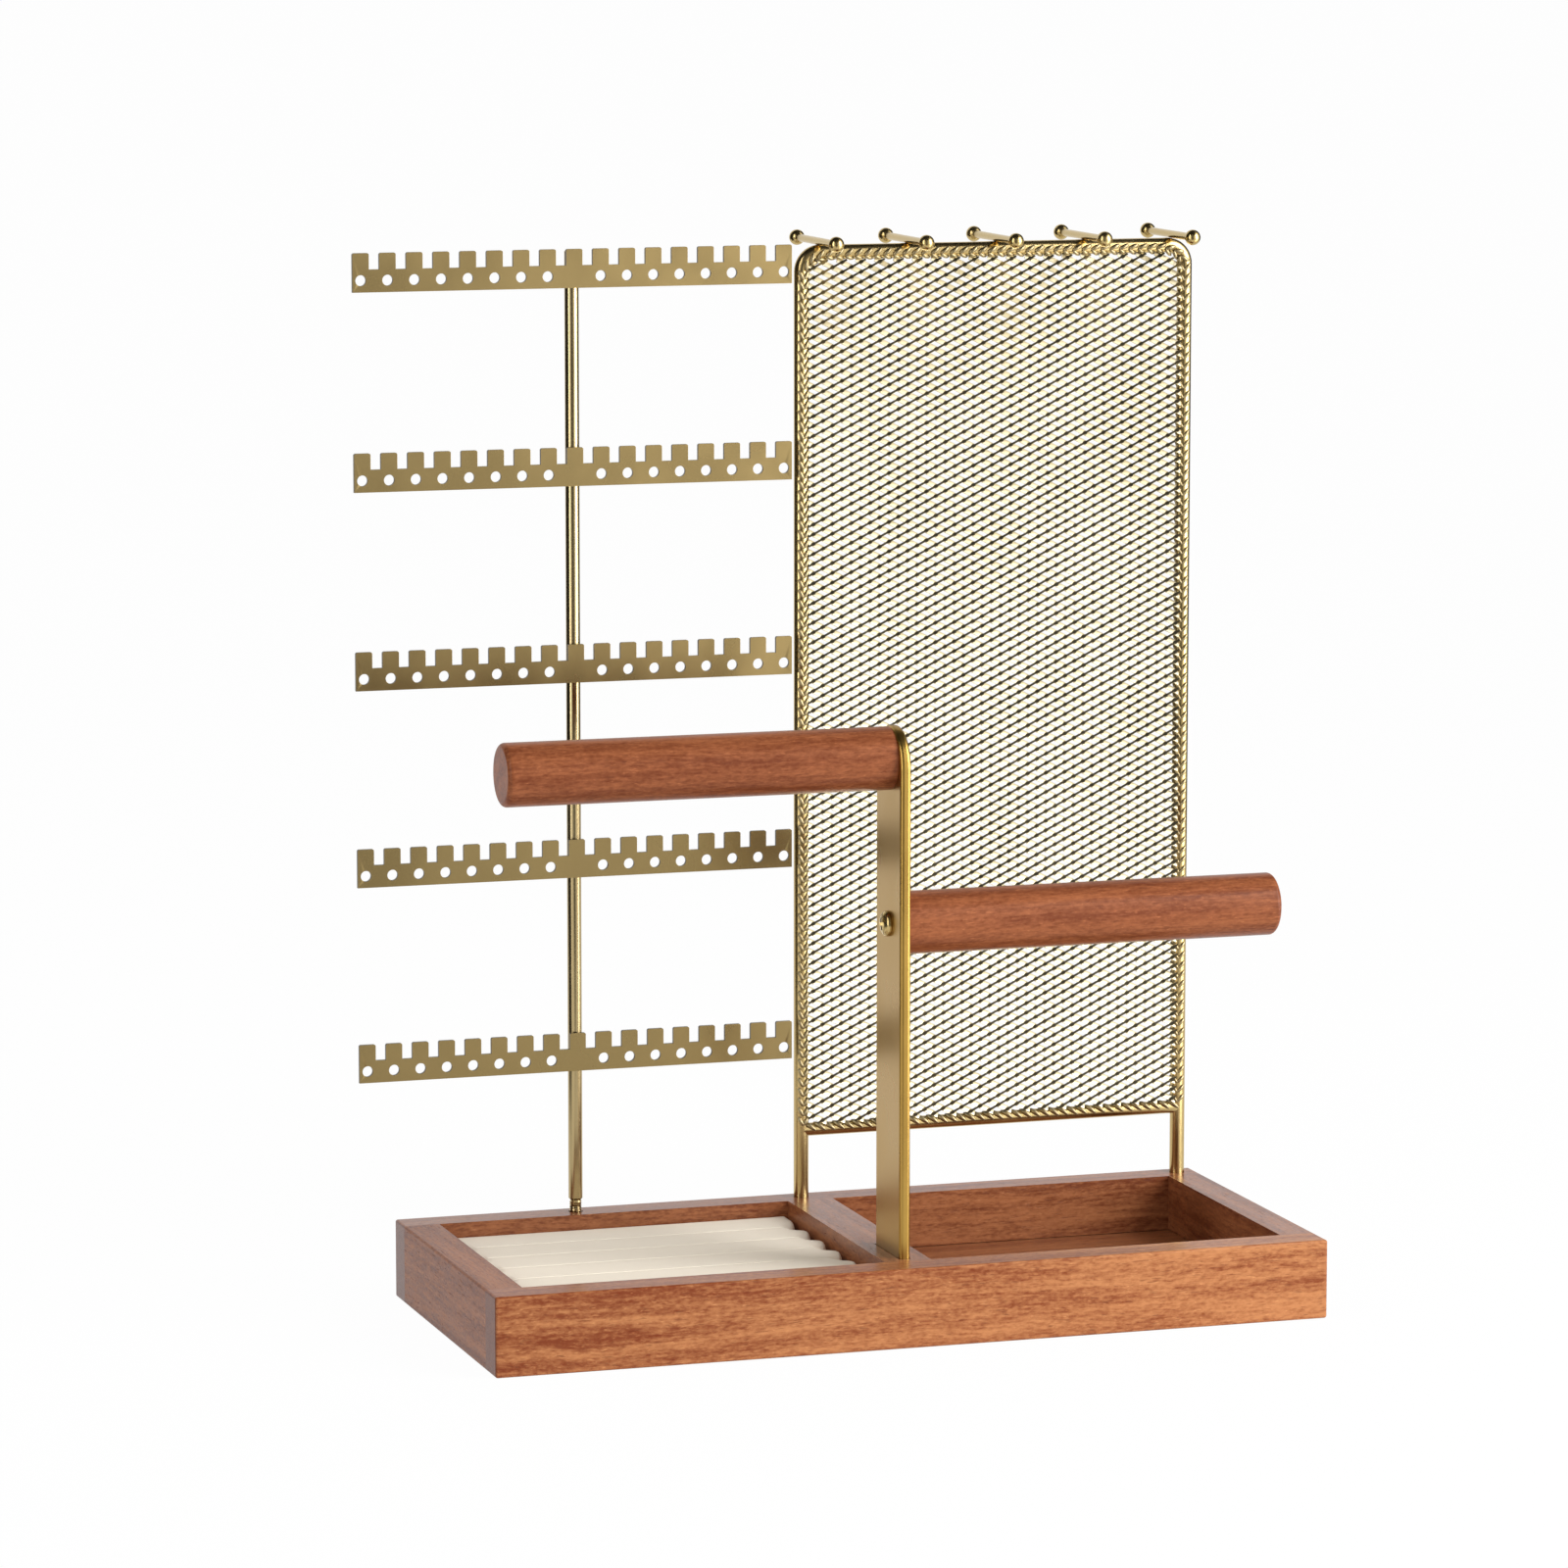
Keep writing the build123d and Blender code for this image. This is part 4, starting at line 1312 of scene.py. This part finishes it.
@dataclass
class RingPad:
    """Velvet pad of soft rolls on a board."""

    finishes: Finishes
    roll_count: int = 6
    along_steps: int = 32
    tip_steps: int = 16
    roll_shape: tuple = ((1.0, 0.0), (0.99, 0.9), (0.98, 0.99), (0.95, 0.998), (0.75, 1.0), (0.4, 1.0))
    slit_depth: float = 2.2 * MM
    tip_length: float = 7.0 * MM
    tip_notch: float = 3.0 * MM
    tip_relief: float = 2.4 * MM
    end_length: float = 1.3 * MM
    end_drop: float = 1.5 * MM
    skirt: float = 0.5 * MM
    sim_scale: float = 10.0
    sim_frames: int = 20
    sim_quality: int = 6
    pressure: float = 6.0
    stretch: float = 12.0
    bending: float = 0.4
    move_cap: float = 0.1 * MM
    pad_smooth: float = 180.0

    def __post_init__(self) -> None:
        """Measure the pad's place."""
        self.low, self.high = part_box("ring_cushion")
        self.hem = self.low.z + self.skirt

    def top(self, to_end: float, place: float, rise: float) -> float:
        """Height of a roll's top, which has a round tip at the pad's end.

        Args:
            to_end: distance to the nearer end.
            place: place across the roll's tip, from -1 to 1.
            rise: how far the place lies above the slit, as a share.

        Returns:
            The height, or that of the pad's hem outside the tip.
        """
        inside = to_end - self.tip_notch * (1 - math.sqrt(1 - place ** 2))
        if inside < 0:
            return self.hem
        rest = 1 - min(inside / self.end_length, 1.0)
        parted = max(0.0, 1 - (to_end / self.tip_length) ** 2) ** 2
        sunk = self.slit_depth * (1 - rise) + self.tip_relief * place ** 2 * parted
        return self.high.z - sunk - self.end_drop * (1 - math.sqrt(1 - rest ** 2))

    def section(self, to_end: float) -> list[tuple[float, float]]:
        """Top outline of the pad across its rolls.

        Args:
            to_end: distance to the nearer end.

        Returns:
            Places along Y and Z.
        """
        half = (self.high.y - self.low.y) / self.roll_count / 2
        shape = [(-place, rise) for place, rise in self.roll_shape] + [(0.0, 1.0)]
        shape += reversed(self.roll_shape[1:])
        square_sides = ((0, True), (self.roll_count - 1, False))
        points = []
        for roll in range(self.roll_count):
            middle = self.low.y + half * (2 * roll + 1)
            for place, rise in shape:
                tip = 0.0 if (roll, place < 0) in square_sides else place
                points.append((middle + half * place, self.top(to_end, tip, rise)))
        return points + [(self.high.y, self.top(to_end, 0.0, 0.0))]

    def shell(self) -> tuple[Piece, list[int]]:
        """Loft the pad's closed shell.

        Returns:
            The shell and the numbers of the points that are sewn down.
        """
        low, high, hem = self.low, self.high, self.hem
        wide = high.x - low.x
        tips = np.linspace(0.0, self.tip_length, self.tip_steps, endpoint=False)
        body = np.linspace(self.tip_length, wide - self.tip_length, self.along_steps + 1)
        stations = [*tips, *body, *(wide - tips[::-1])]
        steps, per_roll = len(stations) - 1, 2 * len(self.roll_shape)
        points, sewn = [], []
        for i, along in enumerate(stations):
            top = self.section(min(along, wide - along))
            loop = [(low.y, hem), *top, (high.y, hem), *((y, low.z) for y, _ in reversed(top))]
            for k, (y, z) in enumerate(loop):
                on_top = 1 <= k <= len(top) and 0 < i < steps
                if not on_top or (k - 1) % per_roll == 0:
                    sewn.append(len(points))
                points.append((low.x + along, y, z))
        count, last = len(loop), len(top)
        faces = bridge(len(stations), count)
        for first in (0, steps * count):
            below = [first + count - k for k in range(1, last + 1)]
            for k in range(1, last):
                faces.append((first + k, first + k + 1, below[k], below[k - 1]))
            faces.append((first, first + 1, below[0]))
            faces.append((first + last, first + last + 1, below[-1]))
        made = mesh_object("ring_cushion_velvet", points, faces, self.finishes.of(VELVET))
        face_outward(made)
        return made, sewn

    def puff(self, piece: Piece, sewn: list[int]) -> None:
        """Blow the rolls up as cloth, sewn down at their creases, and cap how far they move.

        Args:
            piece: the shell.
            sewn: the points that stay.
        """
        start = np.array([v.co for v in piece.data.vertices])
        piece.data.transform(Matrix.Scale(self.sim_scale, 4))
        group = piece.vertex_groups.new(name="sewn")
        group.add(sewn, 1.0, "REPLACE")
        cloth = piece.modifiers.new("Cloth", "CLOTH").settings
        cloth.vertex_group_mass = group.name
        cloth.use_pressure = True
        cloth.uniform_pressure_force = self.pressure
        cloth.effector_weights.gravity = 0.0
        cloth.quality = self.sim_quality
        cloth.tension_stiffness = cloth.compression_stiffness = self.stretch
        cloth.bending_stiffness = self.bending
        for number in range(1, self.sim_frames + 1):
            bpy.context.scene.frame_set(number)
        apply_modifiers(piece)
        bpy.context.scene.frame_set(1)
        piece.vertex_groups.clear()
        moved = np.array([v.co for v in piece.data.vertices]) / self.sim_scale - start
        far = np.linalg.norm(moved, axis=1, keepdims=True)
        moved *= np.minimum(1.0, self.move_cap / np.maximum(far, 1e-9))
        piece.data.vertices.foreach_set("co", (start + moved).astype(np.float32).ravel())
        piece.data.update()
        log.info("ring pad puffed by %.2f mm at most", float(far.max()) / MM)

    def dress(self) -> None:
        """Make the velvet pad and paint its board."""
        self.finishes.paint(BOARD, "cushion_board")
        piece, sewn = self.shell()
        self.puff(piece, sewn)
        soft = piece.modifiers.new("Soft", "SUBSURF")
        soft.levels = soft.render_levels = 1
        smooth(apply_modifiers(piece), self.pad_smooth)
        settle(piece, "ring_pad", "velvet", "ring_cushion")


class CardTone(Enum):
    """Grey of a card."""

    DARK = 0.03
    GREY = 0.15


@dataclass(frozen=True)
class Card:
    """A card that only reflections show: its name, the bearings that it spans in degrees, and its tone."""

    name: str
    start: float
    stop: float
    tone: CardTone = CardTone.DARK


@dataclass(frozen=True)
class Lamp:
    """A tall soft box: its bearing from the front in degrees, its width and its brightness."""

    bearing: float
    width: float
    glow: float


@dataclass
class Studio:
    """Camera, soft lights, pale floor, and cards that shape the metal's reflections."""

    camera_place: Point = (-0.65421, -1.95658, 0.46396)
    camera_look: Point = (0.30322, 0.94220, -0.14253)
    lens: float = 153.25
    fill: float = 0.5
    floor_half: float = 30.0
    floor_tone: Color = (0.86, 0.86, 0.86)
    floor_white: float = 0.975
    lamp_distance: float = 1.1
    lamp_height: float = 1.3
    lamp_lift: float = 0.02
    left_lamp: Lamp = Lamp(-65.0, 0.2, 5.0)
    right_lamp: Lamp = Lamp(50.0, 0.7, 8.0)
    above_low: tuple[float, float] = (-2.0, -2.6)
    above_high: tuple[float, float] = (1.0, 1.4)
    above_height: float = 1.9
    standing: tuple[Card, ...] = (
        Card("card_left", -75, -146),
        Card("card_right", 96, 138),
        Card("card_front", -38, 4, CardTone.GREY),
    )
    standing_lines: tuple = ((0.95, 0.01), (0.95, 1.51))
    lying: tuple[Card, ...] = (Card("floor_left", -75, -124), Card("floor_front", -30, 3, CardTone.GREY))
    lying_lines: tuple = ((0.42, 0.002), (0.95, 0.002))
    gleam: Card = Card("floor_gleam", 43, 72)
    gleam_lines: tuple = ((0.32, 0.002), (1.0, 0.002))
    gleam_glow: float = 2.4

    def white_rays(self, s: Sheet) -> Socket:
        """Make a share that is 1 for camera, glossy and transmission rays.

        Args:
            s: the node tree.

        Returns:
            The share.
        """
        path = s.node("ShaderNodeLightPath").outputs
        seen = s.math("MAXIMUM", path["Is Camera Ray"], path["Is Glossy Ray"])
        return s.math("MAXIMUM", seen, path["Is Transmission Ray"])

    def world(self) -> None:
        """Light the scene softly from a white surrounding."""
        world = bpy.data.worlds.new("Studio")
        bpy.context.scene.world = world
        world.use_nodes = True
        s = Sheet(world.node_tree)
        level = {"Value": self.white_rays(s), "To Min": self.fill, "To Max": 1.0}
        back = world.node_tree.nodes["Background"].inputs
        s.feed(back["Color"], WHITE)
        s.feed(back["Strength"], s.out("ShaderNodeMapRange", level))

    def plane(self, name: str, corners: list, material: Material) -> Piece:
        """Add a flat stage piece.

        Args:
            name: its name.
            corners: its four corners.
            material: its material.

        Returns:
            The piece.
        """
        made = mesh_object(name, corners, [(0, 1, 2, 3)], material)
        return made

    def floor(self) -> None:
        """Lay a pale floor that keeps a faint shadow of the stand."""
        values = {"Base Color": self.floor_tone, "Roughness": 0.9, "Specular IOR Level": 0.0}
        pale, shader = new_material("Pale floor", values)
        s = Sheet(pale.node_tree)
        glow = s.out("ShaderNodeEmission", {"Color": WHITE, "Strength": 1.0})
        share = s.math("MULTIPLY", self.white_rays(s), self.floor_white)
        mixed = s.out("ShaderNodeMixShader", {0: share, 1: shader.outputs[0], 2: glow})
        s.feed(pale.node_tree.nodes["Material Output"].inputs["Surface"], mixed)
        self.plane("floor", [(x * self.floor_half, y * self.floor_half, 0.0) for x, y in SQUARE], pale)

    def around(self, bearing: float, distance: float, height: float) -> Vector:
        """Place on the stage, by its bearing from the front in degrees, its distance and its height."""
        turn = math.radians(bearing)
        return Vector((math.sin(turn) * distance, -math.cos(turn) * distance, height))

    def card(self, card: Card, lines: tuple, material: Material) -> Piece:
        """Set one card between two lines round the stand.

        Args:
            card: the card.
            lines: distance and height of its two lines.
            material: its material.

        Returns:
            The card's piece.
        """
        near, far = ([self.around(bearing, *line) for bearing in (card.start, card.stop)] for line in lines)
        return self.plane(card.name, [*near, *reversed(far)], material)

    def cards(self) -> None:
        """Set the cards round the stand and the gleam on the floor, which only reflections show."""
        dull = {"Roughness": 1.0, "Specular IOR Level": 0.0}
        paints = {}
        for tone in CardTone:
            name = f"{tone.name.capitalize()} card"
            paints[tone] = new_material(name, {"Base Color": (tone.value,) * 3, **dull})[0]
        (x0, y0), (x1, y1), z = self.above_low, self.above_high, self.above_height
        above = [(x0, y0, z), (x1, y0, z), (x1, y1, z), (x0, y1, z)]
        placed = [self.plane("card_above", above, paints[CardTone.DARK])]
        for cards, lines in ((self.standing, self.standing_lines), (self.lying, self.lying_lines)):
            placed += [self.card(card, lines, paints[card.tone]) for card in cards]
        glow = {"Emission Color": WHITE, "Emission Strength": self.gleam_glow}
        placed.append(self.card(self.gleam, self.gleam_lines, new_material("Floor gleam", glow)[0]))
        for piece in placed:
            piece.visible_camera = piece.visible_diffuse = piece.visible_shadow = False

    def lamps(self) -> None:
        """Stand two tall soft boxes at the sides of the front."""
        for name, lamp in (("left", self.left_lamp), ("right", self.right_lamp)):
            light = bpy.data.lights.new(f"soft_box_{name}", "AREA")
            light.energy = lamp.glow * math.pi * lamp.width * self.lamp_height
            light.shape, light.size, light.size_y = "RECTANGLE", lamp.width, self.lamp_height
            made = new_object(light.name, light)
            middle = self.lamp_height / 2 + self.lamp_lift
            made.location = self.around(lamp.bearing, self.lamp_distance, middle)
            made.rotation_euler = (math.pi / 2, 0.0, math.radians(lamp.bearing))
            made.visible_camera = False

    def camera(self) -> None:
        """Set the camera at the photograph's place."""
        data = bpy.data.cameras.new("camera")
        data.lens, data.sensor_width, data.clip_end = self.lens, 36.0, 100.0
        made = new_object("camera", data)
        made.location = self.camera_place
        made.rotation_euler = Vector(self.camera_look).to_track_quat("-Z", "Y").to_euler()
        bpy.context.scene.camera = made

    def build(self) -> None:
        """Set up the whole stage."""
        bpy.context.scene.view_settings.view_transform = "Standard"
        self.world()
        self.floor()
        self.cards()
        self.lamps()
        self.camera()


def main() -> None:
    """Build the stage and dress each sub-assembly in turn."""
    logging.basicConfig(level=logging.INFO, format="%(message)s")
    Studio().build()
    finishes = Finishes()
    for assembly in (Tray, BraceletArms, EarringRack, MeshPanel, RingPad):
        log.info("dressing %s", assembly.__name__)
        assembly(finishes).dress()


if __name__ == "__main__":
    main()
